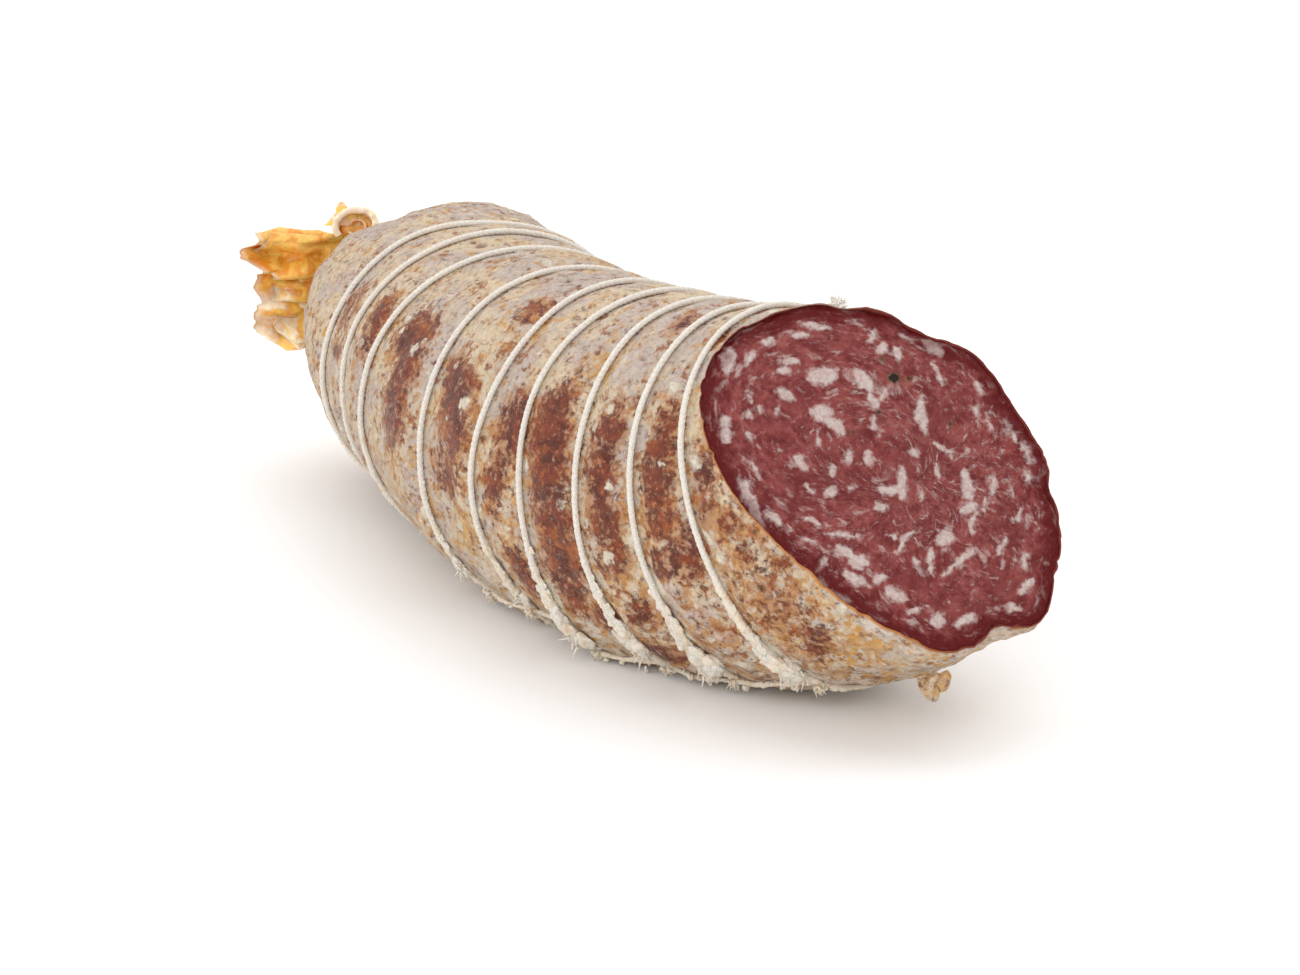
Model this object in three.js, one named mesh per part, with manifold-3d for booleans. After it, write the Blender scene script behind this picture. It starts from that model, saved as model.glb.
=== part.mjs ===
// Half of a tied, air-dried salami with a bound, mould-bloomed casing, lying on its side.
// Millimetres, +Z up. +X runs from the tied end to the cut end, and the belly rests on z = 0.

import * as THREE from 'three';
import { mergeVertices } from 'three/addons/utils/BufferGeometryUtils.js';
import Module from 'manifold-3d';

const wasm = await Module();
wasm.setup();

const DEG = Math.PI / 180;
const vec = (x, y, z) => new THREE.Vector3(x, y, z);
const UP = vec(0, 0, 1);

// The near side is the one that shows both the cut face and the flank.
const NEAR_SIDE = vec(0.823, -0.475, 0.311).normalize();
const NEAR_RIGHT = new THREE.Vector3().crossVectors(UP, NEAR_SIDE).normalize();

// The centre line bows sideways and lifts the cut end off the table.
const SPINE = new THREE.CubicBezierCurve3(
  vec(-120.3, 19.7, 38.6),
  vec(50.0, -38.2, 37.3),
  vec(86.9, 23.3, 33.1),
  vec(131.4, 15.5, 64.1),
);

// Girth: the largest radius, how much it falls towards both ends, and where it is largest.
const LARGEST_RADIUS = 41.5;
const END_TAPER = 7.2;
const TAPER_SKEW = 0.7;
const WIDEST_PLACE = 0.44;

// The tied end is a dome, drawn off to one side where the casing is gathered.
const DOME_SHARE = 0.069;
const DOME_POWER = 1.88;
const NECK_PULL = vec(0, -14, 3);

// The section is a little wide at the tied end and a little tall at the cut end.
const OVAL_MIDDLE = -0.026;
const OVAL_SWING = -0.109;

// Nine loops of twine: place along the centre line, lean to the side and tip upwards in degrees.
const LOOPS = [
  [0.130, 7.4, 7.3],
  [0.158, -1.8, -2.7],
  [0.210, 0.1, 1.1],
  [0.312, 3.6, 9.1],
  [0.378, -2.4, 2.0],
  [0.460, 6.5, 6.5],
  [0.531, 5.8, 6.0],
  [0.610, 7.5, 5.2],
  [0.697, 7.2, 9.8],
];
const TWINE_RADIUS = 0.68;
const TWINE_SIDES = 5;
const LOOP_STEPS = 44;
const CLEARANCE = 0.4;

// How the twine pinches the casing, and how much room it has under the belly.
const PINCH_DEPTH = 1.3;
const PINCH_WIDTH = 3.0;
const LOOP_CENTRE_HEIGHT = 0.85;
const LOOP_ROOM = LOOP_CENTRE_HEIGHT + TWINE_RADIUS + CLEARANCE;
const LOOP_ROOM_HALF = 1.6;

// The slanting cut.
const CUT_PLACE = 0.888;
const CUT_NORMAL = vec(0.683, -0.239, 0.690).normalize();

// Where the rim of the cut stands out or is folded in: angle and half width in degrees, and height.
const RIM_WAVES = [
  [-96, 5, -2.2],
  [-112, 10, 2.8],
  [-76, 11, 2],
  [130, 14, -1.2],
  [-165, 8, -1.2],
];
const RIM_FADE = 0.07;

// Low swellings of the skin.
const SWELLINGS = 9;
const SWELLING_HEIGHT = 0.22;
const GOLDEN_ANGLE = 2.399963;

// A point of the skin on a plane is found step by step, with steps a little short so that they settle.
const PLACE_STEP = 1e-3;
const PLANE_STEPS = 12;
const PLANE_PACE = 0.9;

// Mesh fineness of the body: columns round it, and rows on the dome and next to the cut.
const COLUMNS = 44;
const DOME_ROWS = [0.02, 0.06, 0.13, 0.23, 0.36, 0.50, 0.66, 0.83, 1];
const BANK_OFFSETS = [1.5, 3.4];
const BANK_SHARES = [0.2, 0.36];
const CUT_ROWS = 9;
const FACE_RINGS = [0.66, 0.33];

// The lengthwise string: place and angle pairs on the lower near side, knotted where it crosses a loop.
const STRING_ROUTE = [
  [0.112, -72], [0.210, -61], [0.312, -54], [0.378, -51], [0.460, -56],
  [0.531, -61], [0.610, -65], [0.698, -67], [0.724, -69],
];
const STRING_STEPS = 50;
const STRING_HEIGHT = 1.65;
const KNOT_HEIGHT = 2.15;
const KNOT_SIZE = vec(2.3, 1.7, 1.2);
const KNOT_LOWEST_CENTRE = 1.35;
const KNOT_SEARCH_STEPS = 200;

// Fineness of the knots and of the scrap's lobes, and how close two vertices are to be one.
const LUMP_SIDES = 8;
const LUMP_ROWS = 5;
const MERGE_DISTANCE = 1e-4;

// The gathered tail of casing beyond the tie: a pleated fan that turns to the near side.
// Each station gives how far the fan reaches up and down, the half thickness and the depth of the pleats.
const NECK_AHEAD = vec(-0.95, 0.28, 0.05).normalize();
const NECK_LENGTH = 14;
const TAIL_END = vec(-19, -29, 1);
const TAIL_STATIONS = [
  { share: 0.00, up: 4.6, down: 4.6, thick: 4.0, pleat: 0.3 },
  { share: 0.12, up: 3.8, down: 3.8, thick: 3.1, pleat: 0.3 },
  { share: 0.26, up: 6.0, down: 4.4, thick: 3.0, pleat: 0.7 },
  { share: 0.48, up: 12.5, down: 9.8, thick: 2.4, pleat: 2.0 },
  { share: 0.72, up: 13.5, down: 15.5, thick: 1.6, pleat: 3.2 },
  { share: 0.86, up: 14.0, down: 17.0, thick: 1.4, pleat: 3.6 },
  { share: 1.00, up: 14.3, down: 11.5, thick: 1.1, pleat: 3.8 },
];
const TAIL_PLEATS = 3.4;
const TAIL_PLEAT_START = 0.8;
const TAIL_RAGGED = 0.06;
const TAIL_TEARS = [{ waves: 5.3, start: 1, part: 1 }, { waves: 11, start: 0, part: 0.6 }];
const TAIL_LONGEST = 1.15;
const TAIL_BLUNT = 0.03;
const TAIL_COLUMNS = 20;
const TAIL_ROWS = 11;

// The tie round the neck: two turns of twine.
const TIE_SHARES = [0.05, 0.115];
const TIE_STEPS = 14;
const TIE_ROOM = 0.35;

// A strip of casing that rises from the neck and curls over behind the shoulder of the dome.
const CURL_CENTRE = vec(-10.8, -1.5, 15.2);
const CURL_RADIUS = 4.6;
const CURL_THICKNESS = 1.2;
const CURL_WIDTH = 6.5;
const CURL_STEM = 1.6;
const CURL_END = -0.5;
const CURL_STEPS = 14;

// A dry scrap of two lobes and their root that hangs under the cut end, seen along the near side.
const SCRAP_PLACE = 0.862;
const SCRAP_ANGLE = -76 * DEG;
const SCRAP_LOBES = [
  { size: vec(2.0, 1.7, 3.5), right: 1.7, down: 5.0, tilt: 26 * DEG },
  { size: vec(1.5, 1.4, 2.5), right: 4.7, down: 3.6, tilt: -16 * DEG },
  { size: vec(2.4, 1.3, 1.0), right: 3.0, down: 2.4, tilt: 12 * DEG },
];

// The frayed end of string at the top of the cut: the foot, size and lean of each wisp.
const FRAY_ANGLE = 102 * DEG;
const FRAY_BACK = 2.6;
const FRAY_HEIGHT = 0.6;
const WISP_SIDES = 7;
const FRAY_WISPS = [
  { at: vec(0, 0, 0), radius: 1.1, length: 4.4, lean: 0.1 },
  { at: vec(0.9, 0.4, 0), radius: 0.9, length: 3.4, lean: 0.5 },
  { at: vec(-0.8, 0.2, 0), radius: 0.8, length: 3.0, lean: -0.5 },
];

const COLOURS = {
  casing: { color: 0xb59a80, roughness: 0.85 },
  twine: { color: 0xd8d2c4, roughness: 0.9 },
  tail: { color: 0xd59a4e, roughness: 0.5 },
  scrap: { color: 0xd7b48a, roughness: 0.7 },
};

const group = new THREE.Group();

function addNode(name, geometry, look) {
  const material = new THREE.MeshStandardMaterial({ ...COLOURS[look], metalness: 0 });
  const mesh = new THREE.Mesh(geometry, material);
  mesh.name = name;
  group.add(mesh);
}

// The skin of the sausage

function frameAt(place) {
  const before = SPINE.getPoint(place - PLACE_STEP);
  const after = SPINE.getPoint(place + PLACE_STEP);
  const ahead = after.sub(before);
  const speed = ahead.length() / (2 * PLACE_STEP);
  ahead.normalize();
  const side = new THREE.Vector3().crossVectors(ahead, UP).normalize();
  const over = new THREE.Vector3().crossVectors(side, ahead);
  const centre = SPINE.getPoint(place);
  const pull = (1 - Math.min(Math.max(place, 0) / DOME_SHARE, 1)) ** 2;
  centre.addScaledVector(NECK_PULL, pull);
  return { centre, ahead, side, over, speed };
}

function girth(place) {
  const x = (place - WIDEST_PLACE) / WIDEST_PLACE;
  const barrel = LARGEST_RADIUS - END_TAPER * x * x + TAPER_SKEW * x ** 3;
  const u = Math.min(Math.max(place / DOME_SHARE, 0), 1);
  return barrel * (1 - (1 - u) ** DOME_POWER) ** (1 / DOME_POWER);
}

// A point of the skin without its relief, moved outwards by extra.
function plainSkin(place, angle, extra = 0) {
  const { centre, side, over } = frameAt(place);
  const x = (place - WIDEST_PLACE) / WIDEST_PLACE;
  const oval = 1 + (OVAL_MIDDLE + OVAL_SWING * x) * Math.cos(2 * angle);
  const r = girth(place) * oval + extra;
  return centre.addScaledVector(side, r * Math.cos(angle)).addScaledVector(over, r * Math.sin(angle));
}

// The place where a plane through the centre line meets the skin at an angle.
function placeOnPlane(start, normal, angle) {
  const { centre, ahead, speed } = frameAt(start);
  const along = speed * ahead.dot(normal);
  let place = start;
  for (let i = 0; i < PLANE_STEPS; i++) {
    const miss = plainSkin(place, angle).sub(centre).dot(normal);
    place -= (PLANE_PACE * miss) / along;
  }
  return place;
}

function loopNormal([place, lean, tip]) {
  const { ahead, side, over } = frameAt(place);
  return ahead
    .addScaledVector(side, Math.tan(lean * DEG))
    .addScaledVector(over, Math.tan(tip * DEG))
    .normalize();
}

const loopNormals = LOOPS.map(loopNormal);
const loopPlace = (i, angle) => placeOnPlane(LOOPS[i][0], loopNormals[i], angle);
const cutPlace = (angle) => placeOnPlane(CUT_PLACE, CUT_NORMAL, angle);

function swelling(place, angle) {
  let height = 0;
  for (let i = 0; i < SWELLINGS; i++) {
    const round = 1 + ((i * 3) % 5);
    const along = 4 + ((i * 5) % 9);
    height += Math.cos(round * angle + along * Math.PI * 2 * place + i * GOLDEN_ANGLE);
  }
  return SWELLING_HEIGHT * height;
}

function rimWave(place, angle, endPlace) {
  const back = Math.exp(-(((endPlace - place) / RIM_FADE) ** 2));
  let height = 0;
  for (const [at, halfWidth, rise] of RIM_WAVES) {
    let turn = angle / DEG - at;
    turn -= 360 * Math.round(turn / 360);
    height += rise * Math.exp(-((turn / halfWidth) ** 2));
  }
  return height * back;
}

// The skin with its relief. The belly is pressed flat on the table, with room for each loop.
function skin(place, angle, loopDistance, endPlace) {
  const ease = Math.min(girth(place) / LARGEST_RADIUS, 1);
  const pinch = PINCH_DEPTH * Math.exp(-((loopDistance / PINCH_WIDTH) ** 2));
  const relief = ease * swelling(place, angle) - pinch + rimWave(place, angle, endPlace);
  const point = plainSkin(place, angle, relief);
  const floor = loopDistance < LOOP_ROOM_HALF ? LOOP_ROOM : 0;
  point.z = Math.max(point.z, floor);
  return point;
}

// The rows of the body mesh at an angle: their places, and how far each is from the nearest loop.
function rowPlaces(angle) {
  const loops = LOOPS.map((_, i) => loopPlace(i, angle));
  const rows = [];
  const add = (place, distance) => rows.push({ place, distance });
  const first = loops[0];
  const firstPace = frameAt(first).speed;
  const lastDomeRow = DOME_ROWS[DOME_ROWS.length - 1];
  for (const row of DOME_ROWS) {
    const place = (row / lastDomeRow) * (first - BANK_OFFSETS[1] / firstPace);
    add(place, (first - place) * firstPace);
  }
  loops.forEach((at, i) => {
    const pace = frameAt(at).speed;
    const before = i > 0 ? (at - loops[i - 1]) * pace : Infinity;
    const after = i + 1 < loops.length ? (loops[i + 1] - at) * pace : Infinity;
    const [near, far] = BANK_OFFSETS;
    const back = Math.min(near, BANK_SHARES[0] * before);
    const ahead = Math.min(near, BANK_SHARES[0] * after);
    if (i > 0) {
      const farBack = Math.min(far, BANK_SHARES[1] * before);
      add(at - farBack / pace, farBack);
    }
    add(at - back / pace, back);
    add(at, 0);
    add(at + ahead / pace, ahead);
    const farAhead = Math.min(far, BANK_SHARES[1] * after);
    add(at + farAhead / pace, farAhead);
    if (i + 1 < loops.length) {
      add((at + loops[i + 1]) / 2, after / 2);
    }
  });
  return rows;
}

function bodyGeometry() {
  const columns = Array.from({ length: COLUMNS }, (_, i) => (i / COLUMNS) * Math.PI * 2);
  const placesOf = columns.map(rowPlaces);
  const cutOf = columns.map(cutPlace);
  const sideRows = placesOf[0].length;
  const ringCount = sideRows + CUT_ROWS;

  const rings = [];
  for (let row = 0; row < sideRows; row++) {
    rings.push(columns.map((angle, c) => {
      const { place, distance } = placesOf[c][row];
      return skin(place, angle, distance, cutOf[c]);
    }));
  }
  for (let step = 1; step <= CUT_ROWS; step++) {
    const share = step / CUT_ROWS;
    rings.push(columns.map((angle, c) => {
      const from = placesOf[c][sideRows - 1];
      const place = THREE.MathUtils.lerp(from.place, cutOf[c], share);
      const distance = from.distance + (place - from.place) * frameAt(place).speed;
      return skin(place, angle, distance, cutOf[c]);
    }));
  }

  const cutCentre = frameAt(CUT_PLACE).centre;
  const rim = rings[ringCount - 1];
  rim.forEach((point) => {
    const miss = point.clone().sub(cutCentre).dot(CUT_NORMAL);
    point.addScaledVector(CUT_NORMAL, -miss);
  });
  for (const share of FACE_RINGS) {
    rings.push(rim.map((point) => cutCentre.clone().lerp(point, share)));
  }
  const tip = frameAt(0).centre;
  return closedRings(rings, tip, cutCentre);
}

// A closed surface from rings of points, with a point at each end.
function closedRings(rings, start, end) {
  const count = rings[0].length;
  const positions = [];
  const push = (p) => positions.push(p.x, p.y, p.z);
  push(start);
  rings.forEach((ring) => ring.forEach(push));
  push(end);
  const last = 1 + rings.length * count;
  const at = (row, column) => 1 + row * count + (column % count);
  const index = [];
  for (let c = 0; c < count; c++) {
    index.push(0, at(0, c), at(0, c + 1));
    for (let r = 0; r + 1 < rings.length; r++) {
      index.push(at(r, c), at(r + 1, c), at(r, c + 1));
      index.push(at(r + 1, c), at(r + 1, c + 1), at(r, c + 1));
    }
    index.push(at(rings.length - 1, c + 1), at(rings.length - 1, c), last);
  }
  const geometry = new THREE.BufferGeometry();
  geometry.setAttribute('position', new THREE.Float32BufferAttribute(positions, 3));
  geometry.setIndex(index);
  geometry.computeVertexNormals();
  return geometry;
}

addNode('sausage_body', bodyGeometry(), 'casing');

// Twine

const twineOffset = CLEARANCE + TWINE_RADIUS;

function loopPoint(i, angle) {
  const place = loopPlace(i, angle);
  const relief = swelling(place, angle) - PINCH_DEPTH;
  const point = plainSkin(place, angle, relief + twineOffset);
  point.z = Math.max(point.z, LOOP_CENTRE_HEIGHT);
  return point;
}

LOOPS.forEach((_, i) => {
  const points = Array.from({ length: LOOP_STEPS }, (_, k) => loopPoint(i, (k / LOOP_STEPS) * Math.PI * 2));
  const path = new THREE.CatmullRomCurve3(points, true);
  const tube = new THREE.TubeGeometry(path, LOOP_STEPS, TWINE_RADIUS, TWINE_SIDES, true);
  addNode(`twine_loop_${i + 1}`, tube, 'twine');
});

// Joining of overlapping shapes

function toSolid(geometry) {
  const bare = geometry.clone();
  bare.deleteAttribute('normal');
  bare.deleteAttribute('uv');
  const merged = mergeVertices(bare, MERGE_DISTANCE);
  return new wasm.Manifold(new wasm.Mesh({
    numProp: 3,
    vertProperties: merged.attributes.position.array,
    triVerts: new Uint32Array(merged.index.array),
  }));
}

function join(geometries) {
  const whole = geometries.map(toSolid).reduce((sum, next) => sum.add(next));
  const { vertProperties, triVerts } = whole.getMesh();
  const geometry = new THREE.BufferGeometry();
  geometry.setAttribute('position', new THREE.BufferAttribute(vertProperties, 3));
  geometry.setIndex(new THREE.BufferAttribute(triVerts, 1));
  geometry.computeVertexNormals();
  return geometry;
}

function ellipsoid(size, centre, turn) {
  const ball = new THREE.SphereGeometry(1, LUMP_SIDES, LUMP_ROWS);
  ball.scale(size.x, size.y, size.z);
  ball.applyQuaternion(turn);
  ball.translate(centre.x, centre.y, centre.z);
  return ball;
}

// Lengthwise string and its knots

const stringRoute = new THREE.SplineCurve(
  STRING_ROUTE.map(([place, angle]) => new THREE.Vector2(place, angle * DEG)),
);

function stringPoint(place, angle, height) {
  return plainSkin(place, angle, swelling(place, angle) + height);
}

function stringGeometry() {
  const path = new THREE.CatmullRomCurve3(
    stringRoute.getPoints(STRING_STEPS).map((p) => stringPoint(p.x, p.y, STRING_HEIGHT)),
  );
  const section = new THREE.Shape(Array.from({ length: TWINE_SIDES }, (_, k) => {
    const angle = (k / TWINE_SIDES) * Math.PI * 2;
    return new THREE.Vector2(TWINE_RADIUS * Math.cos(angle), TWINE_RADIUS * Math.sin(angle));
  }));
  const string = new THREE.ExtrudeGeometry(section, { steps: STRING_STEPS, extrudePath: path });
  const knots = LOOPS.map((_, i) => knotGeometry(i));
  return join([string, ...knots]);
}

function knotGeometry(i) {
  const samples = stringRoute.getPoints(KNOT_SEARCH_STEPS);
  const miss = (p) => Math.abs(p.x - loopPlace(i, p.y));
  const cross = samples.reduce((best, p) => (miss(p) < miss(best) ? p : best));
  const centre = stringPoint(cross.x, cross.y, KNOT_HEIGHT);
  centre.z = Math.max(centre.z, KNOT_LOWEST_CENTRE);
  const { ahead, side, over } = frameAt(cross.x);
  const out = side.clone().multiplyScalar(Math.cos(cross.y)).addScaledVector(over, Math.sin(cross.y));
  const across = new THREE.Vector3().crossVectors(out, ahead);
  const turn = new THREE.Quaternion().setFromRotationMatrix(
    new THREE.Matrix4().makeBasis(ahead, across, out),
  );
  return ellipsoid(KNOT_SIZE, centre, turn);
}

addNode('twine_lengthwise', stringGeometry(), 'twine');

// Tail of casing, its tie and the curled strip

const tip = frameAt(0).centre;
const neckStart = tip.clone().addScaledVector(NECK_AHEAD, CLEARANCE);
const tailPath = new THREE.QuadraticBezierCurve3(
  neckStart,
  neckStart.clone().addScaledVector(NECK_AHEAD, NECK_LENGTH),
  tip.clone().add(TAIL_END),
);

function tailStation(share) {
  const last = TAIL_STATIONS.length - 1;
  const k = Math.min(TAIL_STATIONS.findIndex((station) => station.share >= share), last);
  const to = TAIL_STATIONS[Math.max(k, 1)];
  const from = TAIL_STATIONS[Math.max(k, 1) - 1];
  const mix = (share - from.share) / (to.share - from.share);
  const blend = (name) => THREE.MathUtils.lerp(from[name], to[name], mix);
  return { up: blend('up'), down: blend('down'), thick: blend('thick'), pleat: blend('pleat') };
}

// One edge of the fan's section at a share of its length, front or back.
function tailEdge(share, face) {
  const { up, down, thick, pleat } = tailStation(share);
  return Array.from({ length: TAIL_COLUMNS + 1 }, (_, j) => {
    const q = -1 + (2 * j) / TAIL_COLUMNS;
    const tears = TAIL_TEARS.map(({ waves, start, part }) => part * Math.sin(waves * q + start));
    const ragged = 1 + TAIL_RAGGED * share * (tears[0] + tears[1]);
    const along = Math.min(share * ragged, TAIL_LONGEST);
    const ahead = tailPath.getTangent(Math.min(along, 1));
    const centre = tailPath.getPoint(along);
    const across = new THREE.Vector3().crossVectors(ahead, UP).normalize();
    const rise = new THREE.Vector3().crossVectors(across, ahead);
    const round = Math.sqrt(Math.max(1 - q * q, TAIL_BLUNT));
    const fold = pleat * Math.sin(TAIL_PLEATS * Math.PI * q + TAIL_PLEAT_START + share);
    return centre
      .addScaledVector(rise, (q > 0 ? up : down) * q)
      .addScaledVector(across, fold + face * thick * round);
  });
}

function tailGeometry() {
  const shares = Array.from({ length: TAIL_ROWS + 1 }, (_, i) => i / TAIL_ROWS);
  const rings = shares.map((share) => [...tailEdge(share, -1), ...tailEdge(share, 1).reverse()]);
  const count = rings[0].length;
  const positions = rings.flat().flatMap((p) => [p.x, p.y, p.z]);
  const at = (row, column) => row * count + (column % count);
  const index = [];
  for (let r = 0; r < TAIL_ROWS; r++) {
    for (let c = 0; c < count; c++) {
      index.push(at(r, c), at(r, c + 1), at(r + 1, c));
      index.push(at(r + 1, c), at(r, c + 1), at(r + 1, c + 1));
    }
  }
  for (let j = 0; j < TAIL_COLUMNS; j++) {
    const front = [j, j + 1];
    const back = [count - 1 - j, count - 2 - j];
    index.push(at(0, front[0]), at(0, back[0]), at(0, front[1]));
    index.push(at(0, back[0]), at(0, back[1]), at(0, front[1]));
    index.push(at(TAIL_ROWS, front[0]), at(TAIL_ROWS, front[1]), at(TAIL_ROWS, back[0]));
    index.push(at(TAIL_ROWS, back[0]), at(TAIL_ROWS, front[1]), at(TAIL_ROWS, back[1]));
  }
  const geometry = new THREE.BufferGeometry();
  geometry.setAttribute('position', new THREE.Float32BufferAttribute(positions, 3));
  geometry.setIndex(index);
  geometry.computeVertexNormals();
  return geometry;
}

addNode('casing_end', tailGeometry(), 'tail');

function tieTurn(share) {
  const { up, thick, pleat } = tailStation(share);
  const across = new THREE.Vector3().crossVectors(NECK_AHEAD, UP).normalize();
  const rise = new THREE.Vector3().crossVectors(across, NECK_AHEAD);
  const room = CLEARANCE + TWINE_RADIUS + pleat + TIE_ROOM;
  const points = Array.from({ length: TIE_STEPS }, (_, k) => {
    const angle = (k / TIE_STEPS) * Math.PI * 2;
    return tailPath.getPoint(share)
      .addScaledVector(rise, (up + room) * Math.sin(angle))
      .addScaledVector(across, (thick + room) * Math.cos(angle));
  });
  const path = new THREE.CatmullRomCurve3(points, true);
  return new THREE.TubeGeometry(path, TIE_STEPS, TWINE_RADIUS, TWINE_SIDES, true);
}

TIE_SHARES.forEach((share, i) => addNode(`twine_tie_${i + 1}`, tieTurn(share), 'twine'));

function curlGeometry() {
  const inner = CURL_RADIUS - CURL_THICKNESS / 2;
  const outer = CURL_RADIUS + CURL_THICKNESS / 2;
  const profile = new THREE.Shape();
  profile.moveTo(-outer, -CURL_STEM);
  profile.lineTo(-inner, -CURL_STEM);
  profile.lineTo(-inner, 0);
  profile.absarc(0, 0, inner, Math.PI, CURL_END, true);
  profile.absarc(0, 0, outer, CURL_END, Math.PI, false);
  profile.lineTo(-outer, -CURL_STEM);
  const strip = new THREE.ExtrudeGeometry(profile, {
    depth: CURL_WIDTH,
    bevelEnabled: false,
    curveSegments: CURL_STEPS,
  });
  strip.translate(0, 0, -CURL_WIDTH / 2);
  const rise = new THREE.Vector3().crossVectors(NEAR_SIDE, NEAR_RIGHT);
  strip.applyMatrix4(new THREE.Matrix4().makeBasis(NEAR_RIGHT, rise, NEAR_SIDE));
  const place = tip.clone().add(CURL_CENTRE);
  strip.translate(place.x, place.y, place.z);
  return strip;
}

addNode('casing_curl', curlGeometry(), 'tail');

// Scrap under the cut

function scrapGeometry() {
  const relief = swelling(SCRAP_PLACE, SCRAP_ANGLE)
    + rimWave(SCRAP_PLACE, SCRAP_ANGLE, cutPlace(SCRAP_ANGLE));
  const root = plainSkin(SCRAP_PLACE, SCRAP_ANGLE, relief);
  const deep = new THREE.Vector3().crossVectors(UP, NEAR_RIGHT);
  const upright = new THREE.Quaternion().setFromRotationMatrix(
    new THREE.Matrix4().makeBasis(NEAR_RIGHT, deep, UP),
  );
  const lobes = SCRAP_LOBES.map(({ size, right, down, tilt }) => {
    const turn = new THREE.Quaternion().setFromAxisAngle(deep, -tilt).multiply(upright);
    const centre = root.clone().addScaledVector(NEAR_RIGHT, right).addScaledVector(UP, -down);
    return ellipsoid(size, centre, turn);
  });
  return join(lobes);
}

addNode('casing_scrap', scrapGeometry(), 'scrap');

// Frayed end of string

function frayGeometry() {
  const end = cutPlace(FRAY_ANGLE);
  const { ahead, side, over, speed } = frameAt(end);
  const place = end - FRAY_BACK / speed;
  const out = side.clone().multiplyScalar(Math.cos(FRAY_ANGLE)).addScaledVector(over, Math.sin(FRAY_ANGLE));
  const across = new THREE.Vector3().crossVectors(out, ahead);
  const foot = stringPoint(place, FRAY_ANGLE, FRAY_HEIGHT);
  const wisps = FRAY_WISPS.map(({ at, radius, length, lean }) => {
    const wisp = new THREE.ConeGeometry(radius, length, WISP_SIDES, 2);
    wisp.translate(0, length / 2, 0);
    wisp.rotateZ(-lean);
    wisp.translate(at.x, at.z, at.y);
    wisp.applyMatrix4(new THREE.Matrix4().makeBasis(across, out, ahead));
    wisp.translate(foot.x, foot.y, foot.z);
    return wisp;
  });
  return join(wisps);
}

addNode('twine_fray', frayGeometry(), 'twine');

export default group;
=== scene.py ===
import math

import bpy
import numpy as np
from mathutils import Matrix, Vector


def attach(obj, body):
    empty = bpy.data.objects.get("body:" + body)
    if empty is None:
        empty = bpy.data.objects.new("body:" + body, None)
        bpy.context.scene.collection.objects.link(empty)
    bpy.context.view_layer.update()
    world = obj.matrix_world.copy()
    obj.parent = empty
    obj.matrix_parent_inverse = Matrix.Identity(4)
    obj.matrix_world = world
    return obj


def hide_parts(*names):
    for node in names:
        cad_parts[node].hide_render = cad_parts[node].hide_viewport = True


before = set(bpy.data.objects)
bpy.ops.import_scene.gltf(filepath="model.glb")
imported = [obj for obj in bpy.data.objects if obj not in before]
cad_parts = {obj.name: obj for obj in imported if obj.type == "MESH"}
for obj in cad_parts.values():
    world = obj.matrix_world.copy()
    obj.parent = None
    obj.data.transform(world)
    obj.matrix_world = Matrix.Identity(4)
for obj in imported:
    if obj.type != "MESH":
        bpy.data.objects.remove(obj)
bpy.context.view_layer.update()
bpy.ops.object.select_all(action="DESELECT")

# Half of a tied, air-dried salami. Shapes are worked out in millimetres and stored in metres.
MM = 0.001
DEG = math.pi / 180
TURN = 2 * math.pi
UP = np.array([0.0, 0.0, 1.0])
rng = np.random.default_rng(11)


# Vectors, noise and curves

def unit(v):
    return v / np.linalg.norm(v, axis=-1, keepdims=True)


def dot(a, b):
    return np.sum(a * b, axis=-1)


def smooth(x, low, high):
    t = np.clip((x - low) / (high - low), 0, 1)
    return t * t * (3 - 2 * t)


def lattice(i, j, k, seed):
    n = (i * 374761393 + j * 668265263 + k * 1103515245 + seed * 12345701) & 0xFFFFFFFF
    n = ((n ^ (n >> 13)) * 1274126177) & 0xFFFFFFFF
    return ((n ^ (n >> 16)) & 0xFFFF) / 32767.5 - 1


def noise(points, size, seed):
    """Smooth noise from -1 to 1 with features of about the size in millimetres."""
    p = np.asarray(points, float) / size + 1000
    base = np.floor(p).astype(np.int64)
    f = p - base
    f = f * f * (3 - 2 * f)
    total = 0
    for dx in (0, 1):
        for dy in (0, 1):
            for dz in (0, 1):
                wx = f[..., 0] if dx else 1 - f[..., 0]
                wy = f[..., 1] if dy else 1 - f[..., 1]
                wz = f[..., 2] if dz else 1 - f[..., 2]
                corner = lattice(base[..., 0] + dx, base[..., 1] + dy, base[..., 2] + dz, seed)
                total = total + wx * wy * wz * corner
    return total


def fractal(points, size, seed, octaves=3):
    return sum(noise(points, size / 2 ** o, seed + 7 * o) / 2 ** o for o in range(octaves))


def catmull(points, t):
    """A smooth curve through points, t from 0 to 1."""
    points = np.asarray(points, float)
    last = len(points) - 1
    s = np.clip(np.asarray(t, float), 0, 1) * last
    i = np.minimum(s.astype(int), last - 1)
    f = (s - i)[:, None]
    p0 = points[np.where(i > 0, i - 1, i)]
    p1 = points[i]
    p2 = points[i + 1]
    p3 = points[np.where(i > last - 2, last, i + 2)]
    v0 = (p2 - p0) / 2
    v1 = (p3 - p1) / 2
    return (2 * p1 - 2 * p2 + v0 + v1) * f ** 3 + (-3 * p1 + 3 * p2 - 2 * v0 - v1) * f ** 2 + v0 * f + p1


# The form of the sausage: place runs from 0 at the tied tip, and angle goes round from the near side

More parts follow.
